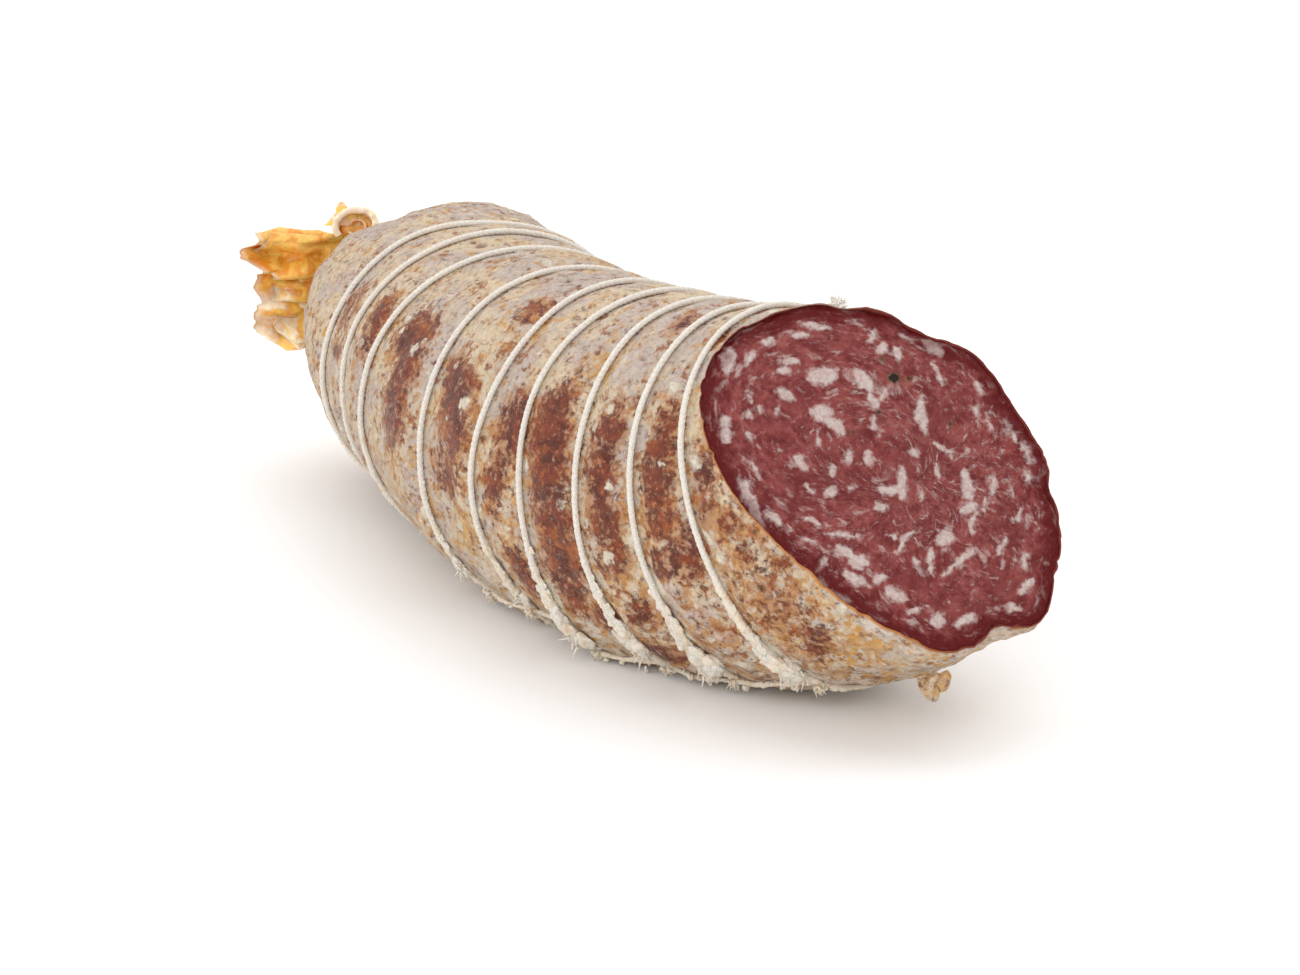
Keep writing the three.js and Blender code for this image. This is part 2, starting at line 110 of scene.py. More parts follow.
SPINE = np.array([[-120.3, 19.7, 38.6], [50.0, -38.2, 37.3], [86.9, 23.3, 33.1], [131.4, 15.5, 64.1]])
LARGEST_RADIUS = 41.5
END_TAPER = 7.2
TAPER_SKEW = 0.7
WIDEST_PLACE = 0.44
DOME_SHARE = 0.069
DOME_POWER = 1.88
NECK_PULL = np.array([0.0, -14.0, 3.0])
OVAL_MIDDLE = -0.026
OVAL_SWING = -0.109
LOOPS = [
    (0.130, 7.4, 7.3), (0.158, -1.8, -2.7), (0.210, 0.1, 1.1), (0.312, 3.6, 9.1), (0.378, -2.4, 2.0),
    (0.460, 6.5, 6.5), (0.531, 5.8, 6.0), (0.610, 7.5, 5.2), (0.697, 7.2, 9.8),
]
TWINE_RADIUS = 0.68
TWINE_PLIES = 3
TWINE_PITCH = 4.0
CLEARANCE = 0.4
PINCH_DEPTH = 1.3
PINCH_WIDTH = 3.0
LOOP_CENTRE_HEIGHT = 0.85
LOOP_ROOM = 1.93
CUT_PLACE = 0.888
CUT_NORMAL = unit(np.array([0.683, -0.239, 0.690]))
RIM_WAVES = [(-96, 5, -2.2), (-112, 10, 2.8), (-76, 11, 2.0), (130, 14, -1.2), (-165, 8, -1.2)]
RIM_FADE = 0.07
GOLDEN_ANGLE = 2.399963
STRING_ROUTE = [
    (0.112, -72), (0.210, -61), (0.312, -54), (0.378, -51), (0.460, -56),
    (0.531, -61), (0.610, -65), (0.698, -67), (0.724, -69),
]
# The length of body in one unit of place, the body's mean radius, and how far loose bits stay off the table
BODY_LENGTH = 262
BODY_RADIUS = 42
TABLE_CLEARANCE = 0.02
# The photo's camera: where it stands, where it looks, and its focal length in pixels of the photo
CAMERA_PLACE = np.array([887.9, -495.7, 355.8])
CAMERA_AIM = (-0.823, 0.475, -0.311)
FOCAL_PIXELS = 4486
PHOTO_WIDTH, PHOTO_HEIGHT = 1300, 975
NEAR_SIDE = -unit(np.array(CAMERA_AIM))
NEAR_RIGHT = unit(np.cross(UP, NEAR_SIDE))
NEAR_UP = np.cross(NEAR_SIDE, NEAR_RIGHT)


def bezier(t):
    t = np.asarray(t, float)[..., None]
    a, b, c, d = SPINE
    return (1 - t) ** 3 * a + 3 * (1 - t) ** 2 * t * b + 3 * (1 - t) * t * t * c + t ** 3 * d


def frame_at(place):
    place = np.asarray(place, float)
    delta = bezier(place + 1e-3) - bezier(place - 1e-3)
    speed = np.linalg.norm(delta, axis=-1) / 2e-3
    ahead = unit(delta)
    side = unit(np.cross(ahead, UP))
    over = np.cross(side, ahead)
    pull = (1 - np.clip(place / DOME_SHARE, 0, 1)) ** 2
    return bezier(place) + pull[..., None] * NECK_PULL, ahead, side, over, speed


def girth(place):
    x = (place - WIDEST_PLACE) / WIDEST_PLACE
    barrel = LARGEST_RADIUS - END_TAPER * x * x + TAPER_SKEW * x ** 3
    u = np.clip(place / DOME_SHARE, 0, 1)
    return barrel * (1 - (1 - u) ** DOME_POWER) ** (1 / DOME_POWER)


def outward(place, angle):
    _, _, side, over, _ = frame_at(place)
    angle = np.asarray(angle, float)[..., None]
    return side * np.cos(angle) + over * np.sin(angle)


def plain_skin(place, angle, extra=0.0):
    place, angle = np.broadcast_arrays(np.asarray(place, float), np.asarray(angle, float))
    x = (place - WIDEST_PLACE) / WIDEST_PLACE
    oval = 1 + (OVAL_MIDDLE + OVAL_SWING * x) * np.cos(2 * angle)
    r = girth(place) * oval + extra
    return frame_at(place)[0] + outward(place, angle) * r[..., None]


def place_on_plane(start, normal, angle):
    centre, ahead, _, _, speed = frame_at(start)
    along = speed * dot(ahead, normal)
    place = np.full(np.shape(angle), start, float)
    for _ in range(12):
        place = place - 0.9 * dot(plain_skin(place, angle) - centre, normal) / along
    return place


def loop_normal(place, lean, tip):
    _, ahead, side, over, _ = frame_at(place)
    return unit(ahead + side * math.tan(lean * DEG) + over * math.tan(tip * DEG))


LOOP_NORMALS = [loop_normal(*loop) for loop in LOOPS]


def loop_place(i, angle):
    return place_on_plane(LOOPS[i][0], LOOP_NORMALS[i], angle)


def cut_place(angle):
    return place_on_plane(CUT_PLACE, CUT_NORMAL, angle)


def swelling(place, angle):
    """Slow, shallow bumps of the whole body."""
    height = 0
    for i in range(9):
        waves = (1 + (i * 3) % 5) * angle + (4 + (i * 5) % 9) * TURN * place
        height = height + np.cos(waves + i * GOLDEN_ANGLE)
    return 0.22 * height


def wrapped(angle):
    return angle - TURN * np.round(angle / TURN)


def rim_wave(place, angle, end_place):
    """Where the rim of the cut stands out or is folded in."""
    height = 0
    for at, half_width, rise in RIM_WAVES:
        height = height + rise * np.exp(-(wrapped(angle - at * DEG) / (half_width * DEG)) ** 2)
    return height * np.exp(-((end_place - place) / RIM_FADE) ** 2)


# Pits with a raised pale ring, and lumps of dry mould, scattered over the skin

def scattered(count, last_place, smallest, largest):
    """Random rows of place, angle and radius, all round the skin."""
    places = rng.uniform(0.05, last_place, count)
    angles = rng.uniform(-math.pi, math.pi, count)
    return np.stack([places, angles, rng.uniform(smallest, largest, count)], 1)


PITS = scattered(190, 0.86, 0.7, 1.6)
SEEN_PITS = [
    (0.748, -21, 1.9), (0.744, -38, 1.5), (0.346, 12, 1.1), (0.746, -4, 1.4), (0.480, 55, 1.5),
    (0.474, 48, 1.5), (0.495, 45, 1.3), (0.464, 39, 1.2), (0.760, -31, 1.3), (0.735, -29, 1.1),
]
SEEN_DENTS = [(0.186, 80, 2.4), (0.229, 83, 2.6), (0.333, 82, 1.8)]
LUMPS = scattered(120, 0.88, 1.0, 2.4)
SEEN_LUMPS = [
    (0.358, 25, 2.8), (0.640, 62, 2.6), (0.581, -4, 2.6), (0.688, -2, 2.0), (0.625, 24, 1.3),
    (0.603, -20, 2.2), (0.456, -45, 3.0), (0.317, -40, 2.4), (0.395, -42, 2.4), (0.51, -50, 3.0),
    (0.66, -52, 3.0), (0.70, -8, 2.2),
]


def spots(points, rows):
    """The nearest spot's distance and radius at each point."""
    best = np.full(points.shape[:-1], 1e9)
    size = np.ones(points.shape[:-1])
    for place, angle, radius in rows:
        centre = plain_skin(place, angle)
        d = np.linalg.norm(points - centre, axis=-1) / radius
        closer = d < best
        best = np.where(closer, d, best)
        size = np.where(closer, radius, size)
    return best, size


def in_radians(rows):
    return [(place, angle * DEG, size) for place, angle, size in rows]


def caked(angle):
    """How much mould cakes the twine and its sides, most on the lower near side."""
    return smooth(-np.sin(angle), -0.15, 0.75) * smooth(np.cos(angle), -0.6, 0.4)


def fine_relief(base, loop_distance, place, angle):
    """Wrinkles, grains, pits and crusts on the plain form, and the masks that they leave for the finish."""
    pit, pit_size = spots(base, [*PITS, *in_radians(SEEN_PITS)])
    dent, _ = spots(base, in_radians(SEEN_DENTS))
    crumb, _ = spots(base, [*LUMPS, *in_radians(SEEN_LUMPS)])
    quiet = smooth(loop_distance, 0.6, 2.4)
    low = smooth(-np.sin(angle), 0.15, 0.9)
    off_tip = smooth(place, 0.02, 0.06)
    grain = 0.38 * fractal(base, 7.0, 3) + (0.20 + 0.20 * low) * fractal(base, 2.2, 31, 2)
    ahead = frame_at(place)[1]
    stretched = base - 0.75 * dot(base - SPINE[0], ahead)[..., None] * ahead
    fold = np.exp(-(noise(stretched, 6.5, 57) / 0.13) ** 2)
    wrinkle = -0.55 * fold * smooth(noise(base, 22, 5), -0.1, 0.5)
    raised = 0.28 * np.exp(-((pit - 1.0) / 0.35) ** 2) * np.clip(0.5 + 1.2 * noise(base, 1.7, 83), 0, 1)
    ring = raised - 0.5 * np.exp(-(pit / 0.62) ** 2)
    sunk = -1.1 * np.exp(-(dent / 0.8) ** 2)
    crust = 0.5 * np.exp(-(crumb / 0.75) ** 2) * (0.6 + 0.9 * np.clip(fractal(base, 1.8, 77, 2), 0, 1))
    height = quiet * (wrinkle + grain + ring * np.minimum(pit_size / 1.6, 1) + sunk + crust)
    pleats = 0.9 * np.exp(-(place * BODY_LENGTH / 11) ** 2) * np.sin(15 * angle + 2.2 * np.sin(3 * angle))
    height = height * np.clip(girth(place) / 26, 0, 1) + pleats * np.clip(girth(place) / 12, 0, 1)
    # The casing bulges up against the twine, and mould banks up beside it.
    height = height + 0.42 * np.exp(-(loop_distance / 0.8) ** 2) * off_tip
    beside = np.exp(-(np.maximum(loop_distance - 1.0, 0) / 1.5) ** 2)
    bank = beside * caked(angle) * np.clip(0.5 + 1.4 * noise(base, 4.5, 19), 0, 1)
    height = height + 0.5 * bank * (0.6 + 0.6 * noise(base, 1.6, 23)) * off_tip
    masks = {
        "bank": bank,
        "pit": np.exp(-(pit / 0.62) ** 2) * quiet,
        "ring": np.exp(-((pit - 1.05) / 0.4) ** 2) * quiet,
        "dent": np.exp(-(dent / 0.8) ** 2),
        "crust": np.exp(-(crumb / 0.9) ** 2),
    }
    return height, masks


def skin(place, angle, loop_distance, end_place, inset=0.0):
    """Points of the outer surface, or of one inset below it, and the masks of the spots on them."""
    ease = np.minimum(girth(place) / LARGEST_RADIUS, 1)
    pinch = PINCH_DEPTH * np.exp(-(loop_distance / PINCH_WIDTH) ** 2)
    coarse = ease * swelling(place, angle) - pinch + rim_wave(place, angle, end_place)
    fine, masks = fine_relief(plain_skin(place, angle), loop_distance, place, angle)
    inset = np.minimum(inset, 0.8 * girth(place) + 0.05)
    points = plain_skin(place, angle, coarse + fine - inset)
    room = LOOP_ROOM * (1 - smooth(loop_distance, 1.3, 2.1))
    floor = np.maximum(room, 0) + inset
    pressed = floor + 0.06 * (1 + noise(points, 2.5, 91)) * (inset == 0)
    points[..., 2] = np.maximum(points[..., 2], pressed)
    return points, masks


def run_length(path):
    """How far along a path each of its points is."""
    return np.concatenate([[0], np.cumsum(np.linalg.norm(np.diff(path, axis=0), axis=1))])


def loop_distances(place, loops):
    speed = frame_at(place)[4]
    return np.min(np.abs(place[None] - loops[:, None, :]), axis=0) * speed


def knots_at(angles):
    loops = np.array([loop_place(i, angles) for i in range(len(LOOPS))])
    return loops, cut_place(angles)


def meridian_rows(count):
    """Places from the tip to the cut, evenly spaced over the surface."""
    dome = np.linspace(0, DOME_SHARE, 900, endpoint=False) ** 2 / DOME_SHARE
    fine = np.concatenate([dome, np.linspace(DOME_SHARE, CUT_PLACE, 600)])
    length = run_length(plain_skin(fine, np.full(fine.shape, 90 * DEG)))
    return np.interp(np.linspace(0, length[-1], count), length, fine)


def places_on_grid(nominal, loops, cut):
    """Shifts the nominal rows, so that they run along the loops and end on the cut."""
    marks = np.concatenate([[0], loops.mean(1), [CUT_PLACE]])
    place = np.empty((len(nominal), loops.shape[1]))
    for c in range(loops.shape[1]):
        place[:, c] = np.interp(nominal, marks, np.concatenate([[0], loops[:, c], [cut[c]]]))
    return place


# Meshes

def ring_quads(rows, columns, joined=False):
    """Four-sided faces between rings of points. Joined, the last ring meets the first."""
    r = np.arange(rows if joined else rows - 1)[:, None]
    c = np.arange(columns)[None, :]
    after = (c + 1) % columns
    below = (r + 1) % rows
    corners = [r * columns + c, r * columns + after, below * columns + after, below * columns + c]
    return np.stack(corners, -1).reshape(-1, 4)


def sheet_faces(rows, columns):
    """Faces of a thin sheet whose front and back share each ring, shut across its thickness at both ends."""
    count = 2 * columns
    last = (rows - 1) * count
    j = np.arange(columns - 1)
    far_end = np.stack([last + count - 1 - j, last + count - 2 - j, last + j + 1, last + j], -1)
    near_end = np.stack([count - 2 - j, count - 1 - j, j, j + 1], -1)
    return [ring_quads(rows, count), far_end, near_end]


def front_and_back(front, back):
    return np.concatenate([front, back[:, ::-1]], axis=1)


def fan(ring, point):
    return np.stack([ring, np.roll(ring, -1), np.full(len(ring), point)], -1)


def volume(points, faces):
    total = 0
    for f in faces:
        for k in range(1, f.shape[1] - 1):
            a, b, c = points[f[:, 0]], points[f[:, k]], points[f[:, k + 1]]
            total += dot(a, np.cross(b, c)).sum()
    return total


class Piece:
    """Closed shells gathered into one mesh, each turned so that its faces point out."""

    def __init__(self, name):
        self.name = name
        self.points = []
        self.faces = []
        self.values = []
        self.count = 0

    def add(self, points, faces, **values):
        """Adds a shell. A value is a number for the whole of it or has one for each point."""
        points = np.asarray(points, float).reshape(-1, 3)
        centre = points.mean(0)
        if volume(points - centre, faces) < 0:
            faces = [f[:, ::-1] for f in faces]
        self.points.append(points)
        self.faces += [f + self.count for f in faces]
        self.values.append({k: np.asarray(v, float) if np.ndim(v) else np.full(len(points), float(v))
                            for k, v in values.items()})
        self.count += len(points)

    def build(self, material, slot, *nodes):
        mesh = bpy.data.meshes.new(self.name)
        faces = [row for f in self.faces for row in f.tolist()]
        mesh.from_pydata((np.concatenate(self.points) * MM).tolist(), [], faces)
        for key in self.values[0]:
            data = np.concatenate([v[key].reshape(len(p), -1) for v, p in zip(self.values, self.points)])
            vector = data.shape[1] == 3
            layer = mesh.attributes.new(key, "FLOAT_VECTOR" if vector else "FLOAT", "POINT")
            layer.data.foreach_set("vector" if vector else "value", data.astype(np.float32).ravel())
        mesh.shade_smooth()
        mesh.materials.append(material)
        piece = bpy.data.objects.new(self.name, mesh)
        bpy.context.scene.collection.objects.link(piece)
        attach(piece, "root")
        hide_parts(*nodes)
        print(self.name, sum(len(f) * (f.shape[1] - 2) for f in self.faces), "triangles")


def closed_rings(rings, start, end):
    """One shell from rings of points, shut by a point at each end."""
    rows, columns = rings.shape[:2]
    points = np.concatenate([rings.reshape(-1, 3), [start], [end]])
    first = np.arange(columns)
    last = first + (rows - 1) * columns
    faces = [ring_quads(rows, columns), fan(first[::-1], rows * columns), fan(last, rows * columns + 1)]
    return points, faces


def sweep(path, out, radius, sides, closed=False):
    """Rings of a round or lobed section along a path, with a radius for each point or each vertex."""
    ahead = np.roll(path, -1, 0) - np.roll(path, 1, 0) if closed else np.gradient(path, axis=0)
    ahead = unit(ahead)
    across = unit(np.cross(ahead, out))
    out = np.cross(across, ahead)
    phi = np.arange(sides) / sides * TURN
    if np.ndim(radius) == 1:
        radius = radius[:, None]
    spoke = out[:, None] * np.cos(phi)[None, :, None] + across[:, None] * np.sin(phi)[None, :, None]
    return path[:, None] + spoke * np.broadcast_to(radius, (len(path), sides))[..., None]


def twisted(path, radius, sides):
    """The section radius of laid twine along a path."""
    length = run_length(path)
    turns = max(round(length[-1] / TWINE_PITCH), 1)
    phase = length / length[-1] * turns * TURN
    phi = np.arange(sides) / sides * TURN
    lobe = np.abs(np.cos(TWINE_PLIES / 2 * (phi[None] - phase[:, None])))
    return np.reshape(radius, (-1, 1)) * (0.80 + 0.24 * lobe)


def hair(piece, start, direction, length, thick, seed, **values):
    """One tapering fibre that bends a little."""
    local = np.random.default_rng(seed)
    steps = 7
    t = np.linspace(0, 1, steps)[:, None]
    bend = unit(np.cross(direction, local.normal(size=3)))
    curl = local.uniform(-0.45, 0.45)
    path = start + direction * length * t + bend * (curl * length) * t * t
    path[:, 2] = np.maximum(path[:, 2], thick + TABLE_CLEARANCE)
    radius = thick * (1 - 0.75 * t[:, 0])
    rings = sweep(path, np.repeat(bend[None], steps, 0), radius, 5)
    tip = path[-1] + direction * thick * 0.4
    tip[2] = max(tip[2], TABLE_CLEARANCE)
    piece.add(*closed_rings(rings, path[0], tip), **values)


def lump(piece, centre, axes, seed, roughness, fineness, **values):
    """A rounded, crumbly lump. Axes are its three half widths as vectors."""
    v = (np.arange(1, fineness) / fineness) * math.pi
    u = np.arange(fineness * 2) / (fineness * 2) * TURN
    x = np.sin(v)[:, None] * np.cos(u)[None]
    y = np.sin(v)[:, None] * np.sin(u)[None]
    z = np.cos(v)[:, None] * np.ones_like(u)[None]
    ball = np.stack([x, y, z], -1)
    size = np.linalg.norm(axes, axis=1).mean()
    bump = 1 + roughness * fractal(ball * size + seed * 13.7, size * 0.8, seed, 3)
    rings = centre + (ball * bump[..., None]) @ axes
    points, faces = closed_rings(rings, centre + axes[2], centre - axes[2])
    points[:, 2] += max(TABLE_CLEARANCE - points[:, 2].min(), 0.0)
    piece.add(points, faces, **values)


# Shader nodes

def node(tree, kind, inputs=None, **settings):
    made = tree.nodes.new(kind)
    for key, value in settings.items():
        setattr(made, key, value)
    for key, value in (inputs or {}).items():
        if isinstance(value, bpy.types.NodeSocket):
            tree.links.new(value, made.inputs[key])
        else:
            made.inputs[key].default_value = value
    return made


def calc(tree, operation, a, b):
    return node(tree, "ShaderNodeMath", {0: a, 1: b}, operation=operation).outputs[0]


def step_up(tree, value, low, high):
    made = node(tree, "ShaderNodeMapRange", {"Value": value, "From Min": low, "From Max": high},
                interpolation_type="SMOOTHSTEP")
    return made.outputs["Result"]


def speckle(tree, vector, size, detail=3.0, roughness=0.55, warp=0.0):
    """Noise with features of about the size in millimetres, with its middle at 0.5."""
    inputs = {"Vector": vector, "Scale": 1 / size, "Detail": detail}
    inputs.update({"Roughness": roughness, "Distortion": warp})
    return node(tree, "ShaderNodeTexNoise", inputs).outputs[0]


def blend(tree, factor, a, b, way="MIX"):
    made = node(tree, "ShaderNodeMix", {0: factor, 6: a, 7: b}, data_type="RGBA", blend_type=way)
    return made.outputs[2]


def map_range(tree, value, low, high, new_low, new_high):
    inputs = {"Value": value, "From Min": low, "From Max": high, "To Min": new_low, "To Max": new_high}
    return node(tree, "ShaderNodeMapRange", inputs).outputs[0]


def shifted(tree, vector, way):
    return node(tree, "ShaderNodeVectorMath", {0: vector, 1: way}, operation="ADD").outputs[0]


def millimetres(tree):
    position = node(tree, "ShaderNodeTexCoord").outputs["Object"]
    return node(tree, "ShaderNodeVectorMath", {0: position, "Scale": 1000.0}, operation="SCALE").outputs[0]


def linear(c):
    c = c / 255
    return c / 12.92 if c <= 0.04045 else ((c + 0.055) / 1.055) ** 2.4


def tone(level):
    """A maker of colours from what is seen in even light, at the level that the lamps need."""
    return lambda r, g, b: (linear(r) * level, linear(g) * level, linear(b) * level, 1.0)


def group(name, vectors, masks, outputs):
    """An empty node group, with its inputs and its end."""
    tree = bpy.data.node_groups.new(name, "ShaderNodeTree")
    kinds = [(socket, "INPUT", "NodeSocketVector") for socket in vectors]
    kinds += [(socket, "INPUT", "NodeSocketFloat") for socket in masks]
    for socket in outputs:
        kinds.append((socket, "OUTPUT", "NodeSocketColor" if socket == "Colour" else "NodeSocketFloat"))
    for socket, way, kind in kinds:
        tree.interface.new_socket(socket, in_out=way, socket_type=kind)
    return tree, tree.nodes.new("NodeGroupInput").outputs, tree.nodes.new("NodeGroupOutput")


def finish_group(tree, end, values):
    for key, value in values.items():
        tree.links.new(value, end.inputs[key])
    return tree


def centred(tree, value, gain):
    """Noise moved to have its middle at zero, times a gain."""
    return calc(tree, "MULTIPLY", calc(tree, "SUBTRACT", value, 0.5), gain)


def total(tree, *values):
    made = values[0]
    for value in values[1:]:
        made = calc(tree, "ADD", made, value)
    return made


def part_of(tree, value, share):
    return calc(tree, "MULTIPLY", value, share)


def times(tree, a, b):
    return calc(tree, "MULTIPLY", a, b)


def halves(tree, a, b):
    return total(tree, part_of(tree, a, 0.5), part_of(tree, b, 0.5))


def lay(tree, colour, value, low, high, share, tint):
    """Lays a tint over a colour where a value passes from low to high."""
    return blend(tree, part_of(tree, step_up(tree, value, low, high), share), colour, tint)


def mould_group():
    """The bloom of the casing: cream and lilac-grey mould, ochre stains, moist patches, crusts and pits. On
    the hanging scrap the ochre and belly tints also serve as painted shade.
    """
    masks = ["Wet", "Ochre", "Low", "Pit", "Ring", "Dent", "Crust", "Bank", "Edge", "Gold"]
    tree, source, end = group("casing_mould", ["Position"], masks, ["Colour", "Roughness", "Height"])
    hue = tone(0.76)
    at = source["Position"]
    second = shifted(tree, at, (37.0, 11.0, 5.0))
    third = shifted(tree, at, (-13.0, 29.0, 61.0))
    low = source["Low"]
    broad = speckle(tree, at, 14.0, 3.0)
    middle = speckle(tree, at, 4.5, 5.0, 0.65, 0.3)
    small = speckle(tree, at, 2.4, 4.0, 0.62)
    grain = speckle(tree, at, 1.1, 3.0, 0.55)
    other = speckle(tree, second, 3.2, 5.0, 0.7, 0.5)
    flake = speckle(tree, second, 1.5, 4.0, 0.66)
    blot = speckle(tree, third, 7.0, 5.0, 0.68, 0.4)
    colour = blend(tree, step_up(tree, broad, 0.42, 0.58), hue(220, 198, 168), hue(200, 183, 172))
    colour = lay(tree, colour, other, 0.50, 0.64, 0.55, hue(170, 146, 136))
    # Ochre stains and rust-brown blots, stronger towards the belly. On the hanging scrap these tints also
    # stand for the shade it hangs in: painted shade.
    ochre = total(tree, source["Ochre"], part_of(tree, low, 0.18), centred(tree, middle, 3.8))
    ochre = total(tree, ochre, centred(tree, flake, 1.3))
    colour = lay(tree, colour, ochre, 0.06, 0.80, 0.80, hue(210, 162, 96))
    rust = total(tree, part_of(tree, low, 0.24), part_of(tree, source["Wet"], 0.30), centred(tree, blot, 4.6))
    rust = total(tree, rust, centred(tree, flake, 1.8))
    colour = lay(tree, colour, rust, 0.36, 0.82, 0.82, hue(160, 96, 56))
    # Brown shows through the bloom in specks, and the bloom stands in pale grains.
    brown = total(tree, part_of(tree, low, 0.05), part_of(tree, small, 0.5), part_of(tree, flake, 0.5))
    thin_bloom = calc(tree, "ADD", part_of(tree, step_up(tree, blot, 0.42, 0.60), 0.85), 0.15)
    shows = times(tree, step_up(tree, brown, 0.52, 0.62), thin_bloom)
    colour = blend(tree, part_of(tree, shows, 0.66), colour, hue(134, 94, 72))
    pale = total(tree, part_of(tree, small, -0.6), part_of(tree, grain, -0.4), part_of(tree, low, 0.03))
    colour = lay(tree, colour, pale, -0.49, -0.40, 0.50, hue(232, 219, 200))
    # Bright orange in the folds low down.
    fold = speckle(tree, third, 3.4, 4.0, 0.6, 0.3)
    orange = total(tree, part_of(tree, low, 0.5), centred(tree, fold, 5.0))
    colour = lay(tree, colour, orange, 0.62, 1.1, 0.75, hue(216, 160, 76))
    scale = speckle(tree, third, 6.5, 5.0, 0.7, 0.6)
    crust = total(tree, part_of(tree, low, 0.35), centred(tree, scale, 5.0))
    colour = lay(tree, colour, crust, 0.44, 0.86, 0.72, hue(228, 214, 200))
    # Moist patches dissolve into the bloom at their borders.
    wet = total(tree, source["Wet"], centred(tree, other, 2.3), centred(tree, small, 1.5))
    wet = total(tree, wet, centred(tree, flake, 1.4))
    around = total(tree, part_of(tree, source["Wet"], 1.6), centred(tree, middle, 2.2))
    around = total(tree, around, centred(tree, flake, 1.4))
    halo = step_up(tree, around, 0.10, 0.70)
    patch = step_up(tree, wet, 0.20, 0.74)
    colour = blend(tree, part_of(tree, halo, 0.66), colour, hue(184, 124, 76))
    deep = blend(tree, step_up(tree, middle, 0.40, 0.62), hue(84, 20, 15), hue(132, 54, 32))
    amber = halves(tree, blot, other)
    deep = lay(tree, deep, amber, 0.51, 0.62, 0.66, hue(188, 108, 56))
    deep = lay(tree, deep, grain, 0.58, 0.70, 0.36, hue(214, 166, 130))
    colour = blend(tree, part_of(tree, patch, 0.92), colour, deep)
    # Pale crusts and rings, dark pits.
    caked_up = total(tree, source["Crust"], part_of(tree, source["Bank"], 1.3), centred(tree, flake, 1.8))
    caked_up = total(tree, caked_up, centred(tree, small, 1.1))
    meal = part_of(tree, step_up(tree, caked_up, 0.40, 0.80), 0.85)
    colour = blend(tree, meal, colour, hue(236, 226, 206))
    gaps = step_up(tree, halves(tree, small, flake), 0.48, 0.58)
    broken = times(tree, step_up(tree, source["Ring"], 0.35, 0.9), gaps)
    colour = blend(tree, part_of(tree, broken, 0.45), colour, hue(228, 217, 200))
    colour = lay(tree, colour, source["Pit"], 0.25, 0.8, 0.75, hue(92, 62, 50))
    colour = lay(tree, colour, source["Dent"], 0.3, 0.9, 0.7, hue(112, 74, 56))
    cells = node(tree, "ShaderNodeTexVoronoi", {"Vector": at, "Scale": 0.42, "Randomness": 1.0})
    chosen = node(tree, "ShaderNodeSeparateColor", {0: cells.outputs["Color"]}).outputs[0]
    apart = cells.outputs["Distance"]
    dots = times(tree, step_up(tree, apart, 0.24, 0.12), step_up(tree, chosen, 0.50, 0.52))
    pale_ring = times(tree, step_up(tree, chosen, 0.60, 0.62), low)
    pale_ring = times(tree, step_up(tree, apart, 0.42, 0.26), pale_ring)
    colour = blend(tree, part_of(tree, pale_ring, 0.6), colour, hue(236, 226, 212))
    speck = blend(tree, low, hue(112, 88, 76), hue(124, 54, 34))
    colour = blend(tree, part_of(tree, times(tree, dots, thin_bloom), 0.75), colour, speck)
    # Tone varies from grain to grain.
    shade = map_range(tree, grain, 0.3, 0.7, 0.80, 1.16)
    grey = node(tree, "ShaderNodeCombineColor", {0: shade, 1: shade, 2: shade}).outputs[0]
    colour = blend(tree, 1.0, colour, grey, "MULTIPLY")
    rim = blend(tree, source["Gold"], hue(132, 58, 48), hue(206, 132, 66))
    colour = blend(tree, source["Edge"], colour, rim)
    damp = times(tree, patch, calc(tree, "SUBTRACT", 1.0, meal))
    roughness = map_range(tree, damp, 0.0, 1.0, 0.82, 0.30)
    height = total(tree, part_of(tree, small, 0.45), part_of(tree, grain, 0.26), part_of(tree, other, 0.35),
                   part_of(tree, patch, -0.12), part_of(tree, dots, -0.25), part_of(tree, meal, 0.12))
    return finish_group(tree, end, {"Colour": colour, "Roughness": roughness, "Height": height})


